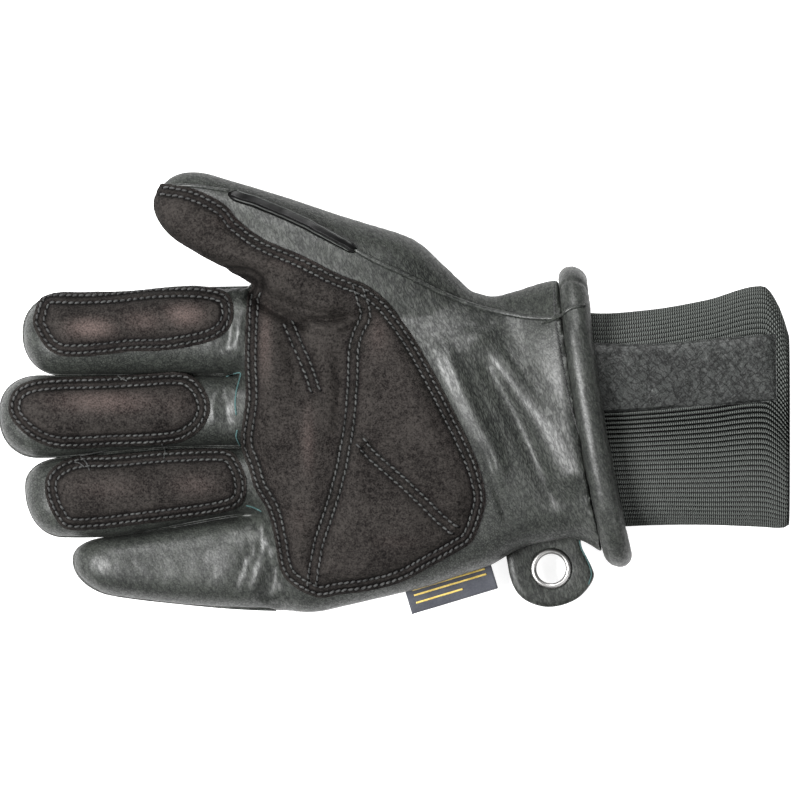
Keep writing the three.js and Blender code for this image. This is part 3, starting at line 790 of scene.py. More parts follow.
@dataclass(frozen=True)
class PlainFinish:
    """A finish of one colour with fine grain in its colour, roughness and surface."""

    name: str
    dark: Color
    light: Color
    rough: float
    grain: float = 1500
    depth: float = 0.1 * MM
    metallic: float = 0.0
    shine: float = 0.12
    glow: float = 0.0

    def make(self) -> bpy.types.Material:
        """Build the material."""
        g = Graph(self.name)
        grain = g.noise(self.grain, 3, 0.6)
        patches = g.noise(self.grain / 12, 3, 0.6)
        return g.finish(
            Base_Color=g.mix((grain * 0.5 + patches * 0.5).ramp(0.3, 0.7), self.dark, self.light),
            Roughness=self.rough + (grain - 0.5) * 0.16,
            Metallic=self.metallic,
            Specular_IOR_Level=self.shine,
            Emission_Color=(1.0, 1.0, 1.0, 1.0),
            Emission_Strength=self.glow,
            Normal=g.bump(grain, 0.4, self.depth),
        )


def dress(obj: bpy.types.Object, material: bpy.types.Material, look: Look, *nodes: str) -> bpy.types.Object:
    """Give a piece its material and body, and let it stand for its CAD nodes."""
    obj.data.materials.clear()
    obj.data.materials.append(material)
    if nodes:
        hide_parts(*nodes)
    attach(obj, "root")
    log.info("%s: %d triangles", obj.name, sum(len(face.vertices) - 2 for face in obj.data.polygons))
    return obj


# Hand


@dataclass(frozen=True)
class Fold:
    """A soft ridge or groove along a line of the plan grid."""

    line: Line
    wide: float
    high: float
    fade: float = 0.25

    def lift(self, places: Array) -> Array:
        """Height that it adds at places in plan, in metres."""
        far, share = reach(places, catmull(plan(self.line), False, 3 * MM))
        ends = smooth_step(np.minimum(share, 1 - share), 0, self.fade)
        return self.high * MM * ends * np.exp(-((far / (self.wide * MM)) ** 2))


@dataclass(frozen=True)
class Relief:
    """The large folds of the palm side, pressed alike into the hand and what is sewn on it."""

    folds: tuple[Fold, ...] = (
        Fold(
            [(436, 328), (448, 356), (457, 376), (467, 398), (478, 421), (490, 443), (500, 475), (507, 495)],
            wide=3.4,
            high=2.1,
            fade=0.18,
        ),
        Fold(
            [(474, 344), (484, 362), (496, 384), (509, 407), (521, 429), (535, 462), (546, 487), (557, 515)],
            wide=3.6,
            high=-2.7,
            fade=0.15,
        ),
        Fold(
            [(462, 318), (486, 349), (505, 371), (521, 391), (536, 411), (550, 432), (562, 464), (575, 500)],
            wide=8.5,
            high=3.2,
            fade=0.13,
        ),
        Fold([(497, 340), (512, 360), (527, 379), (543, 398)], 1.3, -0.6),
        Fold([(478, 440), (488, 460), (497, 490), (505, 515), (510, 535)], 1.8, -1.2),
        Fold([(560, 320), (564, 370), (574, 420), (586, 470), (594, 520)], 1.5, -0.6, 0.1),
        Fold([(462, 328), (480, 326), (497, 324)], 1.0, -0.8),
        Fold([(498, 298), (508, 305), (514, 312)], 1.8, -1.6),
        Fold([(288, 332), (293, 360), (297, 385), (302, 412)], 3.4, -2.0),
        Fold([(272, 318), (269, 360), (275, 420), (287, 485)], 3.6, 1.4),
        Fold([(313, 395), (312, 440), (304, 495)], 3.4, 1.3),
        Fold([(331, 332), (338, 360), (340, 400), (336, 445)], 3.0, -1.6),
        Fold([(375, 310), (395, 345), (420, 400), (440, 455)], 6.0, 1.5),
        Fold([(340, 500), (380, 520), (420, 540)], 5.0, 1.0),
        Fold([(246, 292), (262, 303), (278, 313), (296, 322), (312, 327)], 2.3, -6.0, 0.1),
        Fold([(262, 281), (282, 291), (302, 303), (325, 309), (345, 307)], 3.4, 2.6, 0.2),
        Fold([(304, 319), (320, 320), (336, 319.5), (354, 315)], 1.0, -3.0, 0.2),
        Fold([(310, 325.5), (330, 329), (348, 325.5), (358, 320)], 1.5, 1.5, 0.3),
        Fold([(262, 604), (272, 580), (280, 555), (286, 532)], 2.4, -1.4),
        Fold([(250, 604), (258, 580), (266, 556)], 1.8, 0.7),
        Fold([(232, 600), (240, 572), (252, 545)], 1.6, -0.7),
        Fold([(226, 304), (229, 330), (227, 352)], 1.8, -0.9),
        Fold([(238, 300), (241, 320), (239, 345), (238, 365)], 1.6, 0.9),
        Fold([(216, 385), (214, 405), (217, 432)], 1.7, 0.9),
        Fold([(226, 383), (227, 405), (228, 440)], 1.5, -0.9),
    )

    def press(self, obj: bpy.types.Object) -> None:
        """Move the upper side of a piece up and down by the folds."""
        points = places_of(obj)
        rise = np.zeros(len(points))
        for fold in self.folds:
            rise += fold.lift(points[:, :2])
        points[:, 2] += rise * smooth_step(points[:, 2], 11 * MM, 19 * MM)
        put(obj, points)


@dataclass(frozen=True)
class Finger:
    """One finger: the columns of its side lines and its own proportions."""

    name: str
    length: float
    up: str
    down: str
    high: float
    tip_aside: float
    spread: float


FINGERS = (
    Finger("index", 82, "a", "b", 1.0, 0.01, 1.5),
    Finger("middle", 91, "b", "c", 1.02, 0.01, 0.5),
    Finger("ring", 81, "c", "d", 1.0, 0.035, -0.5),
    Finger("little", 63, "d", "e", 0.93, 0.01, -1.5),
)


@dataclass
class HandForm:
    """The leather hand's form, in millimetres of the hand frame."""

    palm_length: float = 127
    palm_width: float = 124
    palm_height: float = 40
    wall: float = 3
    web_setback: float = 2.7
    web_nose: float = 9
    mouth_lean: float = 0.165
    mouth_bow: float = 0.25
    middle_length: float = 91
    finger_height: float = 28
    finger_gap: float = 0.5
    finger_nose: float = 15
    root_depth: float = 24
    thumb_length: float = 125
    thumb_width: float = 35
    thumb_height: float = 36
    thumb_angle: float = 26.3
    thumb_nose: float = 17
    thumb_root: tuple[float, float] = (0.637, 0.321)
    squareness: float = 2.5
    nose_squareness: float = 2.2
    spread_gap: float = 2.4
    sides: int = 96

    def stations(self, start: float, nose: float, end: float, steps: int) -> tuple[Array, Array]:
        """Places along a limb and how far each is drawn in towards the nose."""
        turn = np.linspace(0.03, 1, 14)[:-1] * math.pi / 2
        near = start + nose * (1 - np.cos(turn))
        squeeze = (1 - np.cos(turn) ** self.nose_squareness) ** (1 / self.nose_squareness)
        body = np.linspace(start + nose, end, steps)
        return np.concatenate([near, body]), np.concatenate([squeeze, np.ones(steps)])

    def rings(self, section: Mapping[str, Array], grow: float, sides: int) -> Array:
        """Squared elliptical sections, flattened where they lie on the floor.

        Args:
            section: Arrays along, up, down, low and top, and lean, squeeze and aside if they aren't plain.
            grow: Millimetres that the section is grown by.
            sides: Points in each ring.

        Returns:
            Points as rings, sides and three coordinates.
        """
        none = np.zeros_like(section["along"])
        part = {"lean": none, "aside": none, "squeeze": none + 1, **section}
        part = {name: values[:, None] for name, values in part.items()}
        mid_across = (part["up"] + part["down"]) / 2 + part["aside"] * (1 - part["squeeze"])
        mid_high = (part["low"] + part["top"]) / 2
        half_across = ((part["up"] - part["down"]) / 2 + grow) * part["squeeze"]
        half_high = ((part["top"] - part["low"]) / 2 + grow) * part["squeeze"]
        turn = (2 * math.pi * (np.arange(sides) + 0.5) / sides)[None]
        power = 2 / self.squareness
        across = np.sign(np.cos(turn)) * np.abs(np.cos(turn)) ** power * half_across
        high = np.sign(np.sin(turn)) * np.abs(np.sin(turn)) ** power * half_high
        along = part["along"] - part["lean"] * (across - self.mouth_bow * across**2 / half_across)
        return np.stack([along, mid_across + across, np.maximum(mid_high + high, max(-grow, 0))], -1)

    def scaled(self, rows: Rows, at: Array, width: float, height: float) -> dict[str, Array]:
        """Limits across and in height from a table of shares."""
        sizes = {"up": width, "down": width, "low": height, "top": height}
        return {column: between(rows, column, at) * size for column, size in sizes.items()}

    def palm_limits(self, along: Array) -> dict[str, Array]:
        """Limits of the palm at places along it."""
        at = along / self.palm_length
        lean = between(PALM_ROWS, "lean", at) * self.mouth_lean
        limits = self.scaled(PALM_ROWS, at, self.palm_width, self.palm_height)
        return {"along": along, "lean": lean, **limits}

    def palm(self, grow: float, sides: int, past: float = 0) -> Array:
        """Rings of the palm."""
        along, squeeze = self.stations(self.web_setback - grow, self.web_nose, self.palm_length + past, 60)
        return self.rings({**self.palm_limits(along), "squeeze": squeeze}, grow, sides)

    def finger(self, finger: Finger, grow: float, sides: int, spread: bool) -> Array:
        """Rings of one finger, moved apart from its neighbours if asked."""
        along, squeeze = self.stations(-finger.length - grow, self.finger_nose, self.root_depth, 44)
        across, high = -along / self.middle_length, -along / finger.length
        rings = self.rings(
            {
                "along": along,
                "up": between(FINGER_LINES, finger.up, across) * self.palm_width - self.finger_gap / 2,
                "down": between(FINGER_LINES, finger.down, across) * self.palm_width + self.finger_gap / 2,
                "low": between(FINGER_ROWS, "low", high) * self.finger_height,
                "top": between(FINGER_ROWS, "top", high) * self.finger_height * finger.high,
                "squeeze": squeeze,
                "aside": np.full_like(along, finger.tip_aside * self.palm_width),
            },
            grow,
            sides,
        )
        if spread:
            rings[..., 1] += finger.spread * self.gap_at(rings[..., 0])
        return rings

    def gap_at(self, along: Array) -> Array:
        """How far neighbouring fingers are moved apart at places along them."""
        return self.spread_gap * smooth_step(-along, -6, 3)

    def thumb(self, grow: float, sides: int) -> Array:
        """Rings of the thumb."""
        along, squeeze = self.stations(-grow, self.thumb_nose, self.thumb_length, 60)
        limits = self.scaled(THUMB_ROWS, along / self.thumb_length, self.thumb_width, self.thumb_height)
        rings = self.rings({"along": along, "squeeze": squeeze, **limits}, grow, sides)
        turn = math.radians(self.thumb_angle)
        tip_x = self.thumb_root[0] * self.palm_length - math.cos(turn) * self.thumb_length
        tip_y = self.thumb_root[1] * self.palm_width + math.sin(turn) * self.thumb_length
        out = rings.copy()
        out[..., 0] = tip_x + rings[..., 0] * math.cos(turn) + rings[..., 1] * math.sin(turn)
        out[..., 1] = tip_y - rings[..., 0] * math.sin(turn) + rings[..., 1] * math.cos(turn)
        return out


def lofted(name: str, rings: Array) -> bpy.types.Object:
    """Closed mesh object through rings given in the hand frame."""
    return build(name, from_hand(rings), ring_faces(*rings.shape[:2]))


@dataclass(frozen=True)
class Pucker:
    """Fine wrinkles of the skin round some lines.

    Each spot is a line of the plan grid, the distances in millimetres where the wrinkles are full and
    gone, and how creased the grain is there.
    """

    high: float
    turn: float
    across: float
    along: float
    seed: float
    spots: tuple[tuple[Line, float, float, float], ...]


HEEL: Line = [(420, 310), (470, 350), (520, 410), (560, 470), (575, 520)]
THUMB_SIDE: Line = [(240, 212), (330, 252), (400, 295), (440, 345)]
FINGER_ROOTS: Line = [(232, 290), (238, 370), (240, 445), (248, 510), (272, 600)]
PUCKERS = (
    Pucker(0.07, -66, 4.2, 22, 0, ((HEEL, 10, 30, 1),)),
    Pucker(0.1, -12, 3.6, 10, 5, ((THUMB_SIDE, 4, 11, 0.8),)),
    Pucker(0.34, -80, 3.4, 11, 9, ((FINGER_ROOTS, 5, 13, 0.7),)),
    Pucker(
        0.12,
        -70,
        3.8,
        10,
        12,
        (
            ([(110, 565), (170, 560), (240, 560)], 8, 22, 0.4),
            ([(360, 235), (440, 275), (520, 300), (550, 295)], 6, 14, 0.6),
        ),
    ),
)


@dataclass
class LeatherHand:
    """The leather hand: one sewn skin of palm, thumb and four fingers, hollow inside."""

    form: HandForm
    grain: bpy.types.Material
    lining: bpy.types.Material
    voxel: float = 1.12 * MM
    padding: float = 2.4

    def build(self) -> bpy.types.Object:
        """Build the skin.

        Returns:
            The finished mesh object.
        """
        form = self.form
        sides = form.sides
        limbs = [form.palm(0, sides), *(form.finger(finger, 0, sides, True) for finger in FINGERS)]
        limbs.append(form.thumb(0, sides))
        hand = joined("leather_hand", [(from_hand(rings), ring_faces(*rings.shape[:2])) for rings in limbs])
        remeshed(hand, self.voxel)
        self.close_up(hand)
        self.even(hand)
        self.lift(hand)
        return hand

    def close_up(self, hand: bpy.types.Object) -> None:
        """Move the spread fingers back to their places."""
        form = self.form
        points = places_of(hand)
        x = points[:, 0] / MM - HAND_SHIFT[0]
        y = points[:, 1] / MM - HAND_SHIFT[1]
        gap = form.gap_at(x)
        at = -x / form.middle_length
        move = np.full(len(points), FINGERS[-1].spread)
        for finger, after in reversed(list(zip(FINGERS[:-1], FINGERS[1:]))):
            edge = between(FINGER_LINES, finger.down, at) * form.palm_width
            edge += (finger.spread + after.spread) / 2 * gap
            move[y > edge] = finger.spread
        thumb_side = between(FINGER_LINES, "a", at) * form.palm_width + FINGERS[0].spread * gap + 1.5
        move[y > thumb_side] = 0
        points[:, 1] -= move * gap * MM
        put(hand, points)

    def even(self, hand: bpy.types.Object) -> None:
        """Smooth the voxel steps, and more where the limbs join."""
        points = places_of(hand)
        x = points[:, 0] / MM - HAND_SHIFT[0]
        relax(hand, np.full(len(points), 0.9), 5)
        roots = smooth_step(x, -14, -2) * (1 - smooth_step(x, 18, 34))
        relax(hand, roots * (points[:, 2] > 4 * MM), 22)

    def lift(self, hand: bpy.types.Object) -> None:
        """Pucker and dent the skin, and store where it is creased."""
        points, normals = places_of(hand), normals_of(hand)
        flat = points[:, :2]
        rise = np.zeros(len(points))
        x = points[:, 0] / MM - HAND_SHIFT[0]
        off_floor = smooth_step(points[:, 2], 1 * MM, 6 * MM)
        rise += 0.4 * MM * lumps(points, 21 * MM) * off_floor
        rise += 0.07 * MM * lumps(points, 8 * MM, 2) * off_floor
        creased = []
        for pucker in PUCKERS:
            masks = [self.near(flat, line, full, none) for line, full, none, _ in pucker.spots]
            creased += [mask * spot[3] for mask, spot in zip(masks, pucker.spots)]
            lines = wrinkles(points, pucker.turn, pucker.across * MM, pucker.along * MM, pucker.seed)
            rise += pucker.high * MM * lines * sum(masks) * off_floor
        rise *= 1 - 0.6 * smooth_step(x, 122, 127)
        points += normals * rise[:, None]
        points[:, 2] = np.maximum(points[:, 2], 0)
        put(hand, points)
        crease = np.maximum.reduce(creased)
        attribute(hand, "crease", 0.1 + 0.85 * crease * smooth_step(normals[:, 2], -0.3, 0.2))
        ridge = plan(SEAM_LINE)
        order = np.argsort(ridge[:, 0])
        above = flat[:, 1] - np.interp(flat[:, 0], ridge[order, 0], ridge[order, 1])
        past_tip = smooth_step(flat[:, 0], -92 * MM, -86 * MM)
        attribute(hand, "matte", smooth_step(above, -0.6 * MM, 0.8 * MM) * past_tip)

    def near(self, flat: Array, line: Line, full: float, none: float) -> Array:
        """Share that falls from 1 to 0 between two distances in millimetres from a line."""
        far, _ = reach(flat, plan(line))
        return 1 - smooth_step(far, full * MM, none * MM)

    def hollow(self, hand: bpy.types.Object) -> None:
        """Cut the cavity of palm, fingers and thumb, open at the wrist, and line it."""
        form, sides = self.form, 48
        skin = Ground(hand).tree
        cavities = [form.palm(-form.wall - self.padding, sides, 6), form.thumb(-form.wall, sides)]
        cavities += [form.finger(finger, -form.wall, sides, False) for finger in FINGERS]
        for rings in cavities:
            core = lofted("core", rings)
            cut(hand, core, "DIFFERENCE")
            discard(core)
        hand.data.materials.append(self.lining)
        inner = [skin.find_nearest(face.center)[3] > self.form.wall * MM / 3 for face in hand.data.polygons]
        hand.data.polygons.foreach_set("material_index", np.array(inner, np.int32))
        hand.data.polygons.foreach_set("use_smooth", [True] * len(inner))


# Suede


@dataclass(frozen=True)
class Patch:
    """One suede patch: its outline in plan, the lowest height of its edge, and its brown-red spots.

    A spot is its middle and half sizes in units of the plan grid, and its strength; the spots are partly real
    wear and partly painted highlight.
    """

    node: str
    outline: Array
    floor: float
    worn_and_lit: Sequence[tuple[float, float, float, float, float]]
    quilting: tuple[Line, ...] = ()


def palm_outline(form: HandForm) -> Array:
    """Outline of the palm's suede in plan, in metres."""
    shares = np.array(PALM_SUEDE)
    hand = np.stack([shares[:, 0] * form.palm_length, shares[:, 1] * form.palm_width, shares[:, 0] * 0], 1)
    return counter_clockwise(catmull(from_hand(hand)[:, :2], True, 0.8 * MM))


def finger_outline(points: Line) -> Array:
    """Outline of a finger's suede in plan, in metres."""
    return counter_clockwise(catmull(plan(points), True, 0.8 * MM))


def suede_patches(form: HandForm) -> list[Patch]:
    """The four patches with their outlines."""
    index = [
        (36, 311), (40, 300), (50, 292), (85, 292), (120, 290), (160, 286), (200, 286), (226, 292),
        (234, 305), (233, 322), (224, 335), (205, 344), (166, 351), (133, 352), (99, 356), (66, 357),
        (50, 350), (40, 337), (34, 323),
    ]
    middle = [
        (14, 392), (30, 381), (60, 377), (100, 376), (140, 374), (179, 372), (196, 378), (207, 392),
        (211, 408), (206, 424), (194, 436), (178, 443), (149, 446), (116, 447), (66, 449), (41, 443),
        (22, 430), (10, 412),
    ]
    ring = [
        (46, 484), (50, 472), (63, 461), (83, 455), (116, 454), (162, 450), (216, 448), (232, 451),
        (241, 462), (247, 478), (247, 494), (239, 507), (216, 514), (182, 519), (133, 525), (99, 529),
        (68, 529), (55, 515), (48, 499),
    ]
    quilting: tuple[Line, ...] = (
        [
            (357, 283), (362, 300), (366, 316), (358, 334), (354, 350), (353, 380), (350, 420),
            (345, 450), (340, 475), (330, 510), (320, 540), (315, 565), (312, 586),
        ],
        [(360, 440), (372, 455), (395, 475), (420, 498), (440, 518), (455, 530)],
        [(288, 322), (298, 345), (309, 370), (316, 392)],
    )
    # Brown-red spots, partly real wear and partly painted highlight; the two long ones on the left panel
    # paint the light on its puffs.
    palm_worn_and_lit = [
        (266, 345, 9, 45, 0.5), (309, 440, 9, 40, 0.45), (300, 262, 34, 10, 0.35), (378, 335, 16, 28, 0.35),
        (235, 222, 30, 9, 0.3), (300, 520, 18, 22, 0.25), (395, 540, 30, 9, 0.25),
    ]
    index_worn_and_lit = [(92, 329, 26, 11, 0.9), (145, 322, 26, 12, 0.5), (186, 316, 22, 13, 0.8)]
    middle_worn_and_lit = [(105, 402, 58, 13, 0.65), (175, 405, 22, 14, 0.3)]
    ring_worn_and_lit = [(110, 488, 50, 14, 0.3), (195, 485, 30, 14, 0.4)]
    finger_floor = 13 * MM
    return [
        Patch("palm_suede", palm_outline(form), 16.8 * MM, palm_worn_and_lit, quilting),
        Patch("index_suede", finger_outline(index), finger_floor, index_worn_and_lit),
        Patch("middle_suede", finger_outline(middle), finger_floor, middle_worn_and_lit),
        Patch("ring_suede", finger_outline(ring), finger_floor, ring_worn_and_lit),
    ]


@dataclass
class SuedeWork:
    """The suede patches, laid on the hand and quilted."""

    form: HandForm
    hand: bpy.types.Object
    relief: Relief
    suede: bpy.types.Material
    thickness: float = 1.3 * MM
    fineness: float = 0.6 * MM
    row_near: float = 1.6 * MM
    row_far: float = 4.3 * MM
    quilt_half: float = 1.7 * MM
    puff: float = 1.9 * MM

    def coat(self, grow: float) -> bpy.types.Object:
        """Copy of the hand moved out by a growth."""
        copy = duplicate(self.hand, "coat")
        put(copy, places_of(self.hand) + normals_of(self.hand) * grow)
        return copy

    def rows(self, patch: Patch) -> list[Array]:
        """Stitch rows of a patch in plan; the two along its edge are closed."""
        return [inset(patch.outline, self.row_near), inset(patch.outline, self.row_far)]

    def quilt_rows(self, patch: Patch) -> list[Array]:
        """The double rows across a patch."""
        rows = []
        for line in patch.quilting:
            middle = catmull(plan(line), False, 0.8 * MM)
            rows += [aside(middle, self.quilt_half), aside(middle, -self.quilt_half)]
        return rows

    def build(self) -> list[tuple[Patch, bpy.types.Object]]:
        """Cut the patches from a coat of the hand and shape their surface.

        Returns:
            Each patch with its mesh object.
        """
        result = []
        over, under = self.coat(self.thickness), self.coat(-0.15 * MM)
        for patch in suede_patches(self.form):
            piece = duplicate(over, patch.node + "_patch")
            block = self.block(patch)
            cut(piece, block, "INTERSECT")
            cut(piece, under, "DIFFERENCE")
            discard(block)
            remeshed(piece, self.fineness)
            relax(piece, np.full(len(piece.data.vertices), 0.8), 2)
            self.shape(patch, piece)
            self.relief.press(piece)
            dress(piece, self.suede, Look.SUEDE, patch.node)
            result.append((patch, piece))
        discard(over, under)
        return result

    def block(self, patch: Patch) -> bpy.types.Object:
        """Upright block over a patch's outline."""
        count = len(patch.outline)
        low = np.hstack([patch.outline, np.full((count, 1), patch.floor)])
        high = np.hstack([patch.outline, np.full((count, 1), 70 * MM)])
        return build("block", np.vstack([low, high]), ring_faces(2, count))

    def shape(self, patch: Patch, piece: bpy.types.Object) -> None:
        """Puff the panels, press the stitch rows in and round the edge."""
        points, normals = places_of(piece), normals_of(piece)
        flat = points[:, :2]
        tree = Ground(self.hand).tree
        raised = np.array([tree.find_nearest(Vector(p))[3] for p in points])
        outer = smooth_step(raised, 0.3 * self.thickness, 0.8 * self.thickness)
        edge, _ = reach(flat, patch.outline[::2], True)
        seams = [np.abs(edge - self.row_near), np.abs(edge - self.row_far)]
        panel = edge - self.row_far
        for line in patch.quilting:
            far, share = reach(flat, catmull(plan(line), False, 2 * MM))
            ends = smooth_step(np.minimum(share, 1 - share), 0, 0.12)
            seams.append(np.abs(far - self.quilt_half) + (1 - ends) * MM)
            panel = np.minimum(panel, far - self.quilt_half + (1 - ends) * 6 * MM)
        seam = np.minimum.reduce(seams)
        puff = self.puff * smooth_step(panel, -0.8 * MM, 7 * MM)
        press = -0.7 * MM * np.exp(-((seam / (0.8 * MM)) ** 2))
        round_edge = -0.45 * self.thickness * (1 - smooth_step(edge, 0, 0.9 * MM))
        rough = 0.25 * MM * lumps(points, 5 * MM, 4) + 0.1 * MM * lumps(points, 1.7 * MM, 6)
        rise = (puff + press + round_edge + rough) * outer * np.clip(normals[:, 2] + 0.3, 0, 1)
        put(piece, points + normals * rise[:, None])
        # Stored for the suede's colour: brown-red places, partly real wear and partly painted highlight.
        wear = np.zeros(len(points))
        for x, y, half_x, half_y, strength in patch.worn_and_lit:
            away = (flat - plan([(x, y)])) / (np.array([half_x, half_y]) * PLAN_UNIT)
            wear = np.maximum(wear, strength * np.exp(-np.sum(away**2, axis=1)))
        attribute(piece, "wear", wear)
        # Stored for the suede's colour: painted shade along the seam grooves.
        attribute(piece, "seam", np.exp(-((seam / (1.5 * MM)) ** 2)))


# Thread


@dataclass
class Threadwork:
    """Lock stitches laid along rows on a surface."""

    thread: bpy.types.Material
    # Material of the discs painted at the stitch ends as the shade in the needle holes.
    hole: bpy.types.Material
    pitch: float = 2.4 * MM
    length: float = 1.95 * MM
    radius: float = 0.42 * MM
    bare: Line = ((150, 230), (205, 258), (238, 273), (258, 284))
    bare_width: float = 3.6 * MM
    steepest: float = 2.5
    hole_radius: float = 0.55 * MM

    def lay(
        self, name: str, ground: Ground, rows: Sequence[Array], closed: Sequence[bool], look: Look
    ) -> None:
        """Lay stitches along rows.

        Args:
            name: Name of the piece.
            ground: The surface they lie on.
            rows: Rows in plan.
            closed: Whether each row returns to its start.
            look: Slot of the piece; passed on but not used.
        """
        threads, holes = [], []
        rng = np.random.default_rng(11)
        for row, loop in zip(rows, closed):
            path = np.vstack([row, row[:1]]) if loop else row
            run = run_of(path)
            count = max(int(run[-1] / self.pitch), 1)
            middle = (np.arange(count) + 0.5 + rng.uniform(-0.06, 0.06, count)) * run[-1] / count
            length = self.length * rng.uniform(0.88, 1.1, count)
            ends = [at_runs(path, run, middle + part * length) for part in (-0.5, 0.0, 0.5)]
            slant = (0.1 + rng.uniform(-0.07, 0.07, count))[:, None]
            sideways = left_of(ends[2] - ends[0]) * slant
            ends[0], ends[2] = ends[0] - sideways, ends[2] + sideways
            drops = [ground.drop(end) for end in ends]
            covered = reach(ends[1], plan(self.bare))[0] < self.bare_width
            for k in range(count):
                if covered[k] or not all(found[k] for _, _, found in drops):
                    continue
                start, mid, end = (hits[k] for hits, _, _ in drops)
                if abs(start[2] - end[2]) > self.steepest * self.length:
                    continue
                threads.append(self.stitch(start, mid, end, drops[1][1][k]))
                holes.append(self.dot(end + (end - mid) * 0.28, drops[2][1][k], end - mid))
        if threads:
            dress(joined(name, threads), self.thread, look)
            dress(joined(name + "_holes", holes), self.hole, look)

    def stitch(self, start: Array, mid: Array, end: Array, normal: Array) -> Part:
        """One stitch: a short bowed thread whose ends dip into the leather."""
        share = np.array([0.0, 0.18, 0.5, 0.82, 1.0])
        bow = np.array([-0.22, 0.12, 0.26, 0.12, -0.22]) * MM
        low = np.array([0.6, 1.0, 1.08, 1.0, 0.6]) * self.radius
        line = (1 - share)[:, None] * start + share[:, None] * end
        line += (mid - (start + end) / 2) * (4 * share * (1 - share))[:, None] + normal * bow[:, None]
        return tube(line, low, 6)

    def dot(self, centre: Array, normal: Array, ahead: Array) -> Part:
        """A near-black disc at a stitch's end, painted as the shade in the needle hole."""
        along = ahead / max(np.linalg.norm(ahead), 1e-9)
        across = np.cross(normal, along)
        turn = np.linspace(0, 2 * math.pi, 8, endpoint=False)[:, None]
        rim = np.cos(turn) * along * self.hole_radius + np.sin(turn) * across * self.hole_radius
        top, low = centre + rim + normal * 0.1 * MM, centre + rim * 0.9 - normal * 0.2 * MM
        return np.stack([low, top]), ring_faces(2, 8)


# Trims of the hand


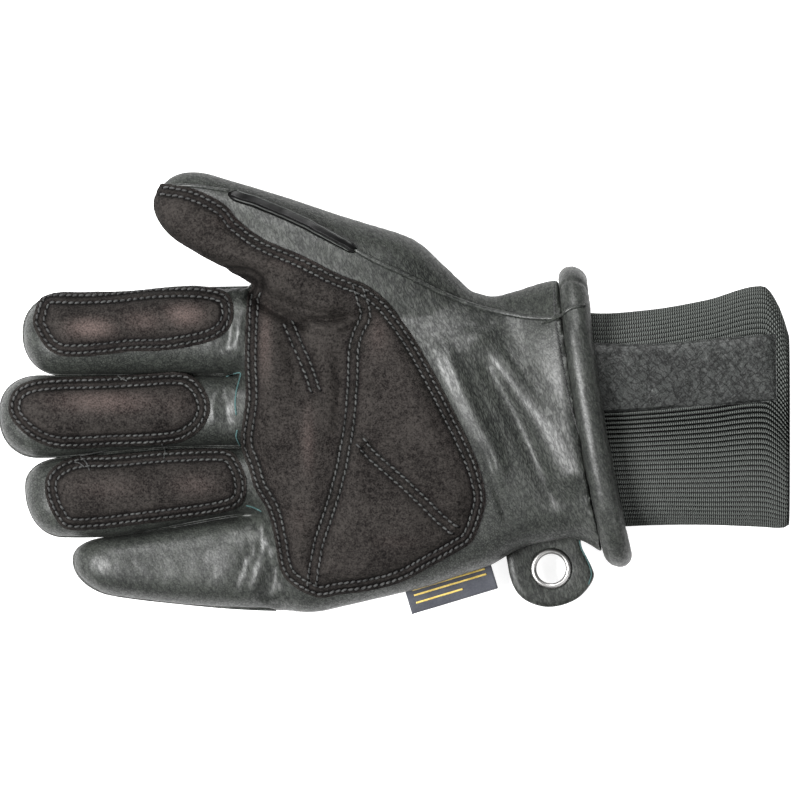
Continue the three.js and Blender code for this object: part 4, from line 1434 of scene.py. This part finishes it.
@dataclass
class HandTrims:
    """Raised seams, the wiper blade with its painted highlight lines, and the raw edges between the fingers.
    """

    form: HandForm
    ground: Ground
    grain: bpy.types.Material
    rubber: bpy.types.Material
    raw: bpy.types.Material
    # Material of the blade's painted highlight lines.
    edge: bpy.types.Material
    crotches: tuple[Line, ...] = (
        ((227, 377), (234, 374), (241, 373), (240, 380), (237, 392), (236, 404), (237, 415)),
        ((238, 430), (237, 437), (241, 446)),
        ((247, 505), (254, 507), (262, 511)),
    )
    blade: Line = ((229, 195), (260, 205.5), (295, 220), (330, 237.5), (358, 252))
    loose: tuple[Line, ...] = (
        ((80, 455), (84, 459), (88, 463), (91, 470)),
        ((76, 462), (81, 463), (86, 467)),
        ((163, 444), (166, 450), (165, 458)),
        ((117, 375), (122, 378), (128, 381)),
    )
    blade_wide: float = 3.6 * MM
    blade_high: float = 2.6 * MM

    def on_ground(self, line: Array, above: float) -> Array:
        """Line in plan laid on the surface, raised by a little."""
        hits, _, found = self.ground.drop(line)
        hits[:, 2] += above
        return hits[found]

    def build(self) -> None:
        """Build every trim."""
        seam = self.on_ground(catmull(plan(SEAM_LINE[9:]), False, 1 * MM), 0.15 * MM)
        wave = 1 + 0.1 * np.sin(np.arange(len(seam)) * 2.6)
        end = self.on_ground(catmull(plan(SEAM_LINE[:6]), False, 1 * MM), 0.1 * MM)
        seams = joined("side_seam", [tube(seam, 0.95 * MM * wave, 8), tube(end, 0.75 * MM, 8)])
        attribute(seams, "crease", np.full(len(seams.data.vertices), 0.2))
        dress(seams, self.grain, Look.LEATHER)
        self.wiper()
        strips = []
        for line in self.crotches:
            edge = self.on_ground(catmull(plan(line), False, 0.5 * MM), 0.1 * MM)
            strips.append(tube(edge, 0.33 * MM, 6))
        dress(joined("raw_edges", strips), self.raw, Look.LEATHER)
        self.finger_seams()

    def wiper(self) -> None:
        """The rubber blade that stands on the thumb, with two lighter lines painted along it as highlights.
        """
        line = catmull(plan(self.blade), False, 1.5 * MM)
        hits, normals, _ = self.ground.drop(line)
        outward = unit(np.cross(unit(np.gradient(hits, axis=0)), normals))
        profile = [
            (-0.6, -0.35), (-0.6, 0.28), (-0.5, 0.42), (-0.3, 0.44), (-0.2, 0.34), (-0.12, 0.44),
            (0.12, 0.98), (0.2, 1.06), (0.34, 1.06), (0.4, 0.94), (0.44, 0.3), (0.56, 0.22),
            (0.6, 0.1), (0.6, -0.35),
        ]
        order = np.arange(len(hits))
        ends = smooth_step(np.minimum(order, order[::-1]).astype(float), -1, 2)[:, None]
        rings = np.stack(
            [
                hits - outward * (a * self.blade_wide) * ends + normals * (b * self.blade_high) * ends
                for a, b in profile
            ],
            1,
        )
        faces = ring_faces(len(hits), len(profile))
        dress(build("wiper_blade", rings, faces), self.rubber, Look.RUBBER, "thumb_wiper")
        # Painted highlights: one thin lighter line along the top crest, one along the low lip on the other
        # side.
        lines = []
        for a, b in [(0.27, 1.03), (-0.5, 0.4)]:
            crest = hits - outward * (a * self.blade_wide) + normals * (b * self.blade_high)
            lines.append(tube(crest[2:-2], 0.2 * MM, 6))
        dress(joined("wiper_highlight_lines", lines), self.edge, Look.RUBBER)

    def hem_row(self) -> Array:
        """The row of stitches where the leather meets the roll, in plan."""
        edge = [
            (553, 286), (554, 315), (557, 340), (562, 370), (568, 400), (575, 425), (582, 450), (587, 480),
            (597, 525),
        ]
        return catmull(plan(edge), False, 0.8 * MM)

    def loose_ends(self, ground: Ground, thread: bpy.types.Material) -> None:
        """Short ends of thread that lie loose on the fingers."""
        ends = []
        for line in self.loose:
            hits, _, _ = ground.drop(catmull(plan(line), False, 0.5 * MM))
            hits[:, 2] += 0.35 * MM
            ends.append(tube(hits, 0.27 * MM, 6))
        dress(joined("loose_thread_ends", ends), thread, Look.SUEDE)

    def finger_seams(self) -> None:
        """Raised seams round the sides of the fingers."""
        parts = []
        for finger in FINGERS:
            rings = self.form.finger(finger, -0.1, self.form.sides, False)
            half = self.form.sides // 2
            one, other = rings[:52, 1], rings[:52, half - 2]
            line = from_hand(np.vstack([one[::-1], other]))
            keep = catmull(line[::3], False, 1.2 * MM)
            parts.append(tube(keep, 0.5 * MM, 6))
        dress(joined("finger_seams", parts), self.grain, Look.LEATHER)


# Wrist


@dataclass
class Wrist:
    """Rolled hem, ribbed knit and the leather strip on it."""

    form: HandForm
    grain: bpy.types.Material
    knit: bpy.types.Material
    strip_leather: bpy.types.Material
    hem_radius: float = 5.45
    roll: float = 5.2
    clearance: float = 0.3
    suede: float = 1.2
    cuff_length: float = 70.5
    cuff_width: float = 80
    cuff_height: float = 33
    seat_depth: float = 12
    neck_clearance: float = 1
    knit_thickness: float = 2.6
    cuff_aside: float = -0.005
    ribs: int = 104
    rib_depth: float = 1.5
    rib_points: int = 8
    rib_start: float = 128
    rib_fade: float = 116
    roll_middle: float = 122
    end_round: float = 2.2
    end_depth: float = 0.9
    cuff_sides: int = 360
    roll_seam: Line = ((560, 317), (565, 312), (570, 309), (576, 307), (583, 306))

    def hem(self) -> bpy.types.Object:
        """The padded roll round the mouth."""
        around, sides = 26, 220
        turn = 2 * math.pi * np.arange(around) / around
        mouth = self.form.palm_limits(np.full(around, float(self.form.palm_length)))
        along = self.form.palm_length + self.clearance + self.roll + self.hem_radius * np.cos(turn)
        rings = []
        for k in range(around):
            one = {key: value[k : k + 1] for key, value in mouth.items()}
            one["along"] = along[k : k + 1]
            grow = self.hem_radius * math.sin(turn[k]) - self.clearance
            ring = self.form.rings(one, grow, sides)[0]
            ring[:, 2] = np.maximum(ring[:, 2], 0)
            rings.append(ring)
        points = from_hand(np.array(rings))
        hoop = np.arange(sides) / sides
        flat = points.reshape(-1, 3)
        ripple = 0.28 * lumps(flat, 9 * MM, 8) + 0.12 * wrinkles(flat, 10, 3.2 * MM, 9 * MM, 3)
        ripple = ripple.reshape(points.shape[:2])
        pinch = -0.55 * np.exp(-(((hoop - 0.075) / 0.004) ** 2))[None]
        middle = points.mean(0, keepdims=True)
        points += unit(points - middle) * ((ripple + pinch) * MM)[..., None]
        points[..., 2] = np.maximum(points[..., 2], 0)
        faces = ring_faces(around, sides, hoop=True)
        hem = build("rolled_hem", points, faces)
        attribute(hem, "crease", np.full(around * sides, 0.5))
        return hem

    def cuff_table(self) -> Rows:
        """The knit's sections as a table in millimetres, from its seat in the shell to its free end."""
        form = self.form
        seat_along = form.palm_length - self.seat_depth
        seat = form.palm_limits(np.array([seat_along]))
        mouth = form.palm_limits(np.array([float(form.palm_length)]))
        middle = (mouth["up"][0] + mouth["down"][0]) / 2 + self.cuff_aside * self.cuff_width
        hem_end = form.palm_length + self.clearance + 2 * self.roll
        neck_low = mouth["low"][0] + self.roll + self.clearance + self.neck_clearance
        neck_top = mouth["top"][0] - self.roll - 2 * self.clearance - self.suede - self.neck_clearance
        inner = form.wall + self.clearance
        up, down = seat["up"][0] - inner, seat["down"][0] + inner
        low, top = seat["low"][0] + inner, seat["top"][0] - inner
        rows = [(seat_along, up, down, low, top, seat["lean"][0])]
        for row in CUFF_ROWS:
            up, down = middle + row["up"] * self.cuff_width, middle + row["down"] * self.cuff_width
            low = neck_low + (-self.knit_thickness / 2 - neck_low) * row["drop"]
            top = neck_top + (self.cuff_height - neck_top) * row["drop"]
            along = hem_end + row["at"] * self.cuff_length
            rows.append((along, up, down, low, top, row["lean"] * form.mouth_lean))
        return table("at up down low top lean", *rows)

    def cuff_rings(self, rows: Rows, along: Array, grow: float, count: int) -> Array:
        """Rings of the knit at places along it, their points spaced evenly."""
        section = {key: between(rows, key, along) for key in ("up", "down", "low", "top", "lean")}
        rings = self.form.rings({"along": along, **section}, grow, self.cuff_sides)
        return np.array([self.even_ring(ring, count) for ring in rings])

    def even_ring(self, ring: Array, count: int) -> Array:
        """Points spaced evenly round a ring."""
        closed = np.vstack([ring, ring[:1]])
        run = run_of(closed)
        return at_runs(closed, run, np.linspace(0, run[-1], count, endpoint=False))

    def knit_tube(self) -> bpy.types.Object:
        """The ribbed knit, outside and inside."""
        rows = self.cuff_table()
        end = rows[-1]["at"]
        along = np.concatenate([[rows[0]["at"], self.roll_middle], np.linspace(self.rib_start, end, 46)])
        count = self.ribs * self.rib_points
        outer = self.cuff_rings(rows, along, -0.1, count)
        inside_along = along[::3][::-1]
        inner = self.cuff_rings(rows, inside_along, -self.knit_thickness, count)
        phase = (np.arange(count) % self.rib_points) / self.rib_points
        middle = outer.mean(1, keepdims=True)
        inward = middle - outer
        inward[..., 0] = 0
        groove = self.rib_depth * (0.5 + 0.5 * np.cos(2 * math.pi * phase)) ** 1.5
        near_end = smooth_step(along, end - self.end_round, end)
        ribbed = smooth_step(along, self.rib_fade, self.rib_start)
        depth = groove[None] * ribbed[:, None] + self.end_depth * near_end[:, None] ** 2
        outer = outer + unit(inward) * depth[..., None]
        outer[..., 2] = np.maximum(outer[..., 2], 0)
        rings = np.concatenate([outer, inner])
        obj = build("rib_knit_cuff", from_hand(rings), ring_faces(len(rings), count, hoop=True))
        runs = np.repeat(np.concatenate([along, inside_along]) * MM, count)
        attribute(obj, "along", runs)
        attribute(obj, "rib", np.tile(np.abs(2 * phase - 1), len(rings)))
        return obj

    def leather_strip(self, ground: Ground) -> bpy.types.Object:
        """The strip of leather sewn on the knit: a thin plate that follows it."""
        rows = 56
        steps = 150
        top = catmull(plan([(584, 342), (625, 344), (667, 343), (720, 338), (774, 334)]), False, 0.5 * MM)
        low = catmull(plan([(600, 413), (650, 410), (706, 406), (740, 404), (775, 401)]), False, 0.5 * MM)
        top = top[np.linspace(0, len(top) - 1, steps).astype(int)]
        low = low[np.linspace(0, len(low) - 1, steps).astype(int)]
        share = np.linspace(0, 1, rows)[None, :, None]
        grid = top[:, None] * (1 - share) + low[:, None] * share
        hits, normals, _ = ground.drop(grid.reshape(-1, 2))
        z = hits[:, 2].reshape(steps, rows)
        for _ in range(6):
            z[:, 1:-1] = np.maximum(z[:, 1:-1], (z[:, :-2] + z[:, 2:]) / 2)
        i = np.arange(steps)[:, None]
        j = np.arange(rows)[None]
        near = np.minimum(np.minimum(j, rows - 1 - j) * 0.48, (steps - 1 - i) * 0.47)
        height = 0.9 * MM * np.sqrt(np.clip(near / 1.6, 0, 1))
        sewn = -0.12 * MM * np.exp(-(((near - 2.0) / 0.6) ** 2))
        net = wrinkles(hits, 62, 3.4 * MM, 9 * MM, 1) + wrinkles(hits, -48, 3.8 * MM, 8 * MM, 7)
        wrinkle = 0.07 * MM * net.reshape(steps, rows) * smooth_step(near.astype(float), 1.5, 4)
        upper = np.dstack([grid, z + height + sewn + wrinkle])
        lower = np.dstack([grid, z - 0.5 * MM])
        points = np.vstack([upper.reshape(-1, 3), lower.reshape(-1, 3)])
        faces: list[tuple[int, ...]] = []
        size = steps * rows
        for a in range(steps - 1):
            for b in range(rows - 1):
                q = (a * rows + b, (a + 1) * rows + b, (a + 1) * rows + b + 1, a * rows + b + 1)
                faces.append(q[::-1])
                faces.append(tuple(size + v for v in q))
        loop = [a * rows for a in range(steps)] + [(steps - 1) * rows + b for b in range(1, rows)]
        loop += [a * rows + rows - 1 for a in range(steps - 2, -1, -1)] + [b for b in range(rows - 2, 0, -1)]
        for p, q in zip(loop, loop[1:] + loop[:1]):
            faces.append((p, q, size + q, size + p)[::-1])
        strip = build("cuff_strip", points, faces)
        attribute(strip, "crease", np.full(len(points), 0.35))
        attribute(strip, "matte", np.full(len(points), 0.3))
        return strip

    def build(self) -> None:
        """Build and dress the wrist."""
        hem = dress(self.hem(), self.grain, Look.LEATHER, "hem_roll")
        over_roll, _, _ = Ground(hem).drop(catmull(plan(self.roll_seam), False, 0.8 * MM))
        dress(build("hem_seam", *tube(over_roll + (0, 0, 0.1 * MM), 0.7 * MM, 8)), self.grain, Look.LEATHER)
        knit = dress(self.knit_tube(), self.knit, Look.KNIT, "knit_cuff")
        dress(self.leather_strip(Ground(knit)), self.strip_leather, Look.CUFF_LEATHER, "cuff_patch")


# Tab, eyelet and label


@dataclass
class Hanging:
    """Hang tab with its eyelet, and the folded label beside it."""

    leather: bpy.types.Material
    raw: bpy.types.Material
    metal: bpy.types.Material
    weave: bpy.types.Material
    gold: bpy.types.Material
    tab_low: float = 12 * MM
    tab_thick: float = 2.8 * MM
    hole: tuple[float, float] = (550.8, 568.3)
    hole_radius: float = 5.55 * MM
    outline: Line = (
        (504, 530), (505, 550), (507, 562), (510, 577), (516, 591), (527, 601), (544, 606.5),
        (561, 605), (577, 598), (588, 587), (593.5, 576), (591.5, 567), (586, 556), (581, 546),
        (578, 530), (560, 526), (530, 525),
    )

    def build(self) -> None:
        """Build the tab, the eyelet and the label."""
        self.tab()
        self.eyelet()
        self.label()

    def tab(self) -> None:
        """The leather tab: a plate with rounded edges and a hole for the eyelet."""
        rim = counter_clockwise(catmull(plan(self.outline), True, 0.7 * MM))
        count = len(rim)
        centre = plan([self.hole])[0]
        start = math.atan2(*(rim[0] - centre)[::-1])
        turn = start + np.unwrap(np.arctan2(rim[:, 1] - centre[1], rim[:, 0] - centre[0]))
        turn -= turn[0] - start
        bore = centre + (self.hole_radius + 0.7 * MM) * np.stack([np.cos(turn), np.sin(turn)], 1)
        over = [(1, 0.2), (0.985, 0.75), (0.94, 1.0), (0.7, 1.03), (0.45, 1.0), (0.2, 0.97), (0.0, 0.8)]
        under = [(0.0, 0.2), (0.45, 0.0), (0.94, 0.0), (0.985, 0.08)]
        rows = []
        for share, rise in over + under:
            flat = bore + (rim - bore) * share
            rows.append(np.hstack([flat, np.full((count, 1), self.tab_low + self.tab_thick * rise)]))
        rings = np.array(rows)
        tab = build("hang_tab_leather", rings, [f[::-1] for f in ring_faces(len(rings), count, hoop=True)])
        attribute(tab, "crease", np.full(rings.shape[0] * count, 0.7))
        attribute(tab, "matte", np.full(rings.shape[0] * count, 0.6))
        dress(tab, self.leather, Look.LEATHER, "hang_tab")
        raw_side = [(579, 540), (581, 548), (585, 556), (589, 565), (591, 574), (588, 584)]
        edge = catmull(plan(raw_side), False, 0.6 * MM)
        line = np.hstack([edge, np.full((len(edge), 1), self.tab_low + self.tab_thick * 0.98)])
        dress(build("tab_raw_edge", *tube(line, 0.3 * MM, 6)), self.raw, Look.LEATHER)

    def eyelet(self) -> None:
        """The metal ring: a rolled flange on both faces and a barrel through the tab."""
        centre = plan([self.hole])[0]
        top, low = self.tab_low + self.tab_thick, self.tab_low
        profile = [
            (5.55, low - 0.5 * MM), (6.2, low - 0.9 * MM), (7.2, low - 0.8 * MM),
            (7.7, low - 0.3 * MM), (7.6, low), (6.2, low + 0.2 * MM), (6.2, top - 0.2 * MM),
            (7.6, top + 0.05 * MM), (7.75, top + 0.4 * MM), (7.3, top + 0.85 * MM),
            (6.6, top + 1.05 * MM), (6.0, top + 0.9 * MM), (5.65, top + 0.5 * MM), (5.55, top),
        ]
        sides = 72
        turn = np.linspace(0, 2 * math.pi, sides, endpoint=False)
        wheel_x, wheel_y = np.cos(turn), np.sin(turn)
        rings = np.array(
            [
                np.stack([centre[0] + r * MM * wheel_x, centre[1] + r * MM * wheel_y, np.full(sides, z)], 1)
                for r, z in profile
            ]
        )
        ring = build("eyelet_ring", rings, ring_faces(len(profile), sides, hoop=True))
        dress(ring, self.metal, Look.METAL, "eyelet")

    def label(self) -> None:
        """The folded woven label: two leaves round a fold at the free edge, with plain woven bars."""
        corners = plan([(402, 580), (488, 555), (498, 588), (412, 614)])
        inner_z, outer_z = 14.2 * MM, 8.6 * MM
        upper_leaf = [(0, 0.9), (0.3, 0.9), (0.6, 0.9), (0.85, 0.9), (0.97, 0.75), (1, 0.45)]
        lower_leaf = [(0.97, 0.15), (0.85, 0), (0.6, 0), (0.3, 0), (0, 0)]
        between_leaves = [
            (0, 0.3), (0.3, 0.3), (0.6, 0.3), (0.85, 0.3), (0.93, 0.37), (0.95, 0.45), (0.93, 0.53),
            (0.85, 0.6), (0.6, 0.6), (0.3, 0.6), (0, 0.6),
        ]
        section = np.array(upper_leaf + lower_leaf + between_leaves, float)
        u = np.linspace(0, 1, 40)[:, None, None]
        v, rise = section[None, :, :1], section[None, :, 1] * MM
        upper, lower = corners[0] * (1 - u) + corners[1] * u, corners[3] * (1 - u) + corners[2] * u
        flat = upper * (1 - v) + lower * v
        sway = 0.35 * MM * np.sin(u[..., 0] * 5 + v[..., 0] * 2)
        points = np.dstack([flat, inner_z + (outer_z - inner_z) * v[..., 0] + sway + rise])
        faces = [face[::-1] for face in ring_faces(len(points), len(section))]
        label = dress(build("woven_label", points, faces), self.weave, Look.LABEL, "side_label")
        bars = []
        for row, start, end in [(0.34, 0.08, 0.92), (0.5, 0.08, 0.92), (0.72, 0.08, 0.62)]:
            s = np.linspace(start, end, 40)[:, None]
            upper, lower = corners[0] * (1 - s) + corners[1] * s, corners[3] * (1 - s) + corners[2] * s
            line = upper * (1 - row) + lower * row
            height = inner_z + (outer_z - inner_z) * row + 0.35 * MM * np.sin(s * 5 + row * 2) + 0.88 * MM
            bars.append(tube(np.hstack([line, height]), 0.42 * MM, 6))
        gold = dress(joined("label_bars", bars), self.gold, Look.LABEL)


# Studio


@dataclass
class Studio:
    """Pale floor, soft lights and the camera straight above."""

    middle: tuple[float, float] = (1.992 * MM, -2.251 * MM)
    frame_side: float = 304 * MM
    height: float = 6.0
    sensor: float = 36
    far_clip: float = 40
    floor_reach: float = 9
    floor_level: float = -2e-4
    world_light: float = 0.06

    def build(self) -> None:
        """Build the floor, the lights and the camera."""
        corners = np.array([(-1, -1, 0), (1, -1, 0), (1, 1, 0), (-1, 1, 0)]) * self.floor_reach
        floor = build("floor", corners + (0, 0, self.floor_level), [(0, 1, 2, 3)])
        dark, light = (0.5, 0.5, 0.5, 1), (0.54, 0.54, 0.54, 1)
        paper = PlainFinish("paper", dark, light, 0.9, 40, 0.02 * MM, glow=0.85).make()
        floor.data.materials.append(paper)
        world = bpy.data.worlds.new("studio")
        bpy.context.scene.world = world
        bpy.context.scene.view_settings.view_transform = "Standard"
        world.use_nodes = True
        world.node_tree.nodes["Background"].inputs["Color"].default_value = (1, 1, 1, 1)
        world.node_tree.nodes["Background"].inputs["Strength"].default_value = self.world_light
        self.lamp("key", (-0.78, -0.1, 1.15), 0.55, 56)
        self.lamp("upper", (-0.1, 0.9, 1.0), 0.5, 20)
        self.lamp("fill", (0.7, -0.6, 1.2), 1.0, 10)
        camera = bpy.data.cameras.new("camera")
        camera.sensor_width = self.sensor
        camera.lens = self.sensor * self.height / self.frame_side
        camera.clip_end = self.far_clip
        holder = bpy.data.objects.new("camera", camera)
        holder.location = (*self.middle, self.height)
        bpy.context.scene.collection.objects.link(holder)
        bpy.context.scene.camera = holder

    def lamp(self, name: str, place: tuple[float, float, float], side: float, power: float) -> None:
        """One square soft light that looks at the glove."""
        light = bpy.data.lights.new(name, "AREA")
        light.size = side
        light.energy = power
        holder = bpy.data.objects.new(name, light)
        holder.location = place
        holder.rotation_euler = Vector(place).to_track_quat("Z", "Y").to_euler()
        bpy.context.scene.collection.objects.link(holder)


def main() -> None:
    """Build the whole glove in order."""
    logging.basicConfig(level=logging.INFO, format="%(message)s")
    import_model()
    Studio().build()
    grain = LeatherFinish().make()
    suede = SuedeFinish().make()
    thread = PlainFinish("thread", (0.008, 0.008, 0.008, 1), (0.048, 0.049, 0.048, 1), 0.5).make()
    # Near-black discs at the stitch ends: painted shade in the needle holes.
    pit, pit_rim = (0.003, 0.003, 0.003, 1), (0.005, 0.005, 0.005, 1)
    hole = PlainFinish("needle_hole_shade", pit, pit_rim, 0.95, shine=0.02).make()
    black, near_black = (0.0012, 0.0012, 0.0012, 1), (0.0022, 0.0022, 0.0022, 1)
    rubber = PlainFinish("rubber", black, near_black, 0.42, 300, shine=0.1).make()
    raw = PlainFinish("raw_edge", (0.015, 0.034, 0.034, 1), (0.05, 0.09, 0.09, 1), 0.85).make()
    steel, bright_steel = (0.2, 0.2, 0.195, 1), (0.32, 0.315, 0.31, 1)
    metal = PlainFinish("nickel", steel, bright_steel, 0.36, 200, 0.01 * MM, 1.0, 0.5).make()
    weave = PlainFinish("label_weave", (0.04, 0.042, 0.05, 1), (0.065, 0.068, 0.078, 1), 0.75).make()
    gold = PlainFinish("gold_thread", (0.35, 0.25, 0.06, 1), (0.62, 0.47, 0.15, 1), 0.55).make()
    strip_dark, strip_light = (0.002, 0.0023, 0.0021, 1), (0.023, 0.0256, 0.0238, 1)
    strip_leather = LeatherFinish("strip_leather", strip_dark, strip_light, 0.46, 1100, 60, net=0.75).make()

    form = HandForm()
    fleece_dark, fleece_light = (0.02, 0.02, 0.02, 1), (0.06, 0.06, 0.06, 1)
    lining = PlainFinish("fleece_lining", fleece_dark, fleece_light, 0.95, 900, 0.6 * MM).make()
    maker = LeatherHand(form, grain, lining)
    hand = maker.build()
    relief = Relief()
    work = SuedeWork(form, hand, relief, suede)
    patches = work.build()
    relief.press(hand)
    thread_work = Threadwork(thread, hole)
    for patch, piece in patches:
        rows, extra = work.rows(patch), work.quilt_rows(patch)
        closed = [True] * len(rows) + [False] * len(extra)
        thread_work.lay(patch.node + "_stitching", Ground(piece), rows + extra, closed, Look.SUEDE)
    # Lighter rubber for the painted highlight lines on the blade.
    blade_highlight_rubber = PlainFinish("blade_highlight_rubber", (0.02, 0.022, 0.02, 1), (0.06, 0.063, 0.06, 1), 0.5, 600).make()
    trims = HandTrims(form, Ground(hand), grain, rubber, raw, blade_highlight_rubber)
    trims.build()
    trims.loose_ends(Ground(hand, *(piece for _, piece in patches)), thread)
    Threadwork(thread, thread, 1.5 * MM, 1.0 * MM, 0.24 * MM).lay(
        "hem_stitching", trims.ground, [trims.hem_row()], [False], Look.LEATHER
    )
    leather_nodes = ("palm_shell", "thumb", "index_finger", "middle_finger", "ring_finger", "little_finger")
    dress(hand, grain, Look.LEATHER, *leather_nodes)
    maker.hollow(hand)
    Wrist(form, grain, KnitFinish().make(), strip_leather).build()
    Hanging(grain, raw, metal, weave, gold).build()


if __name__ == "__main__":
    main()
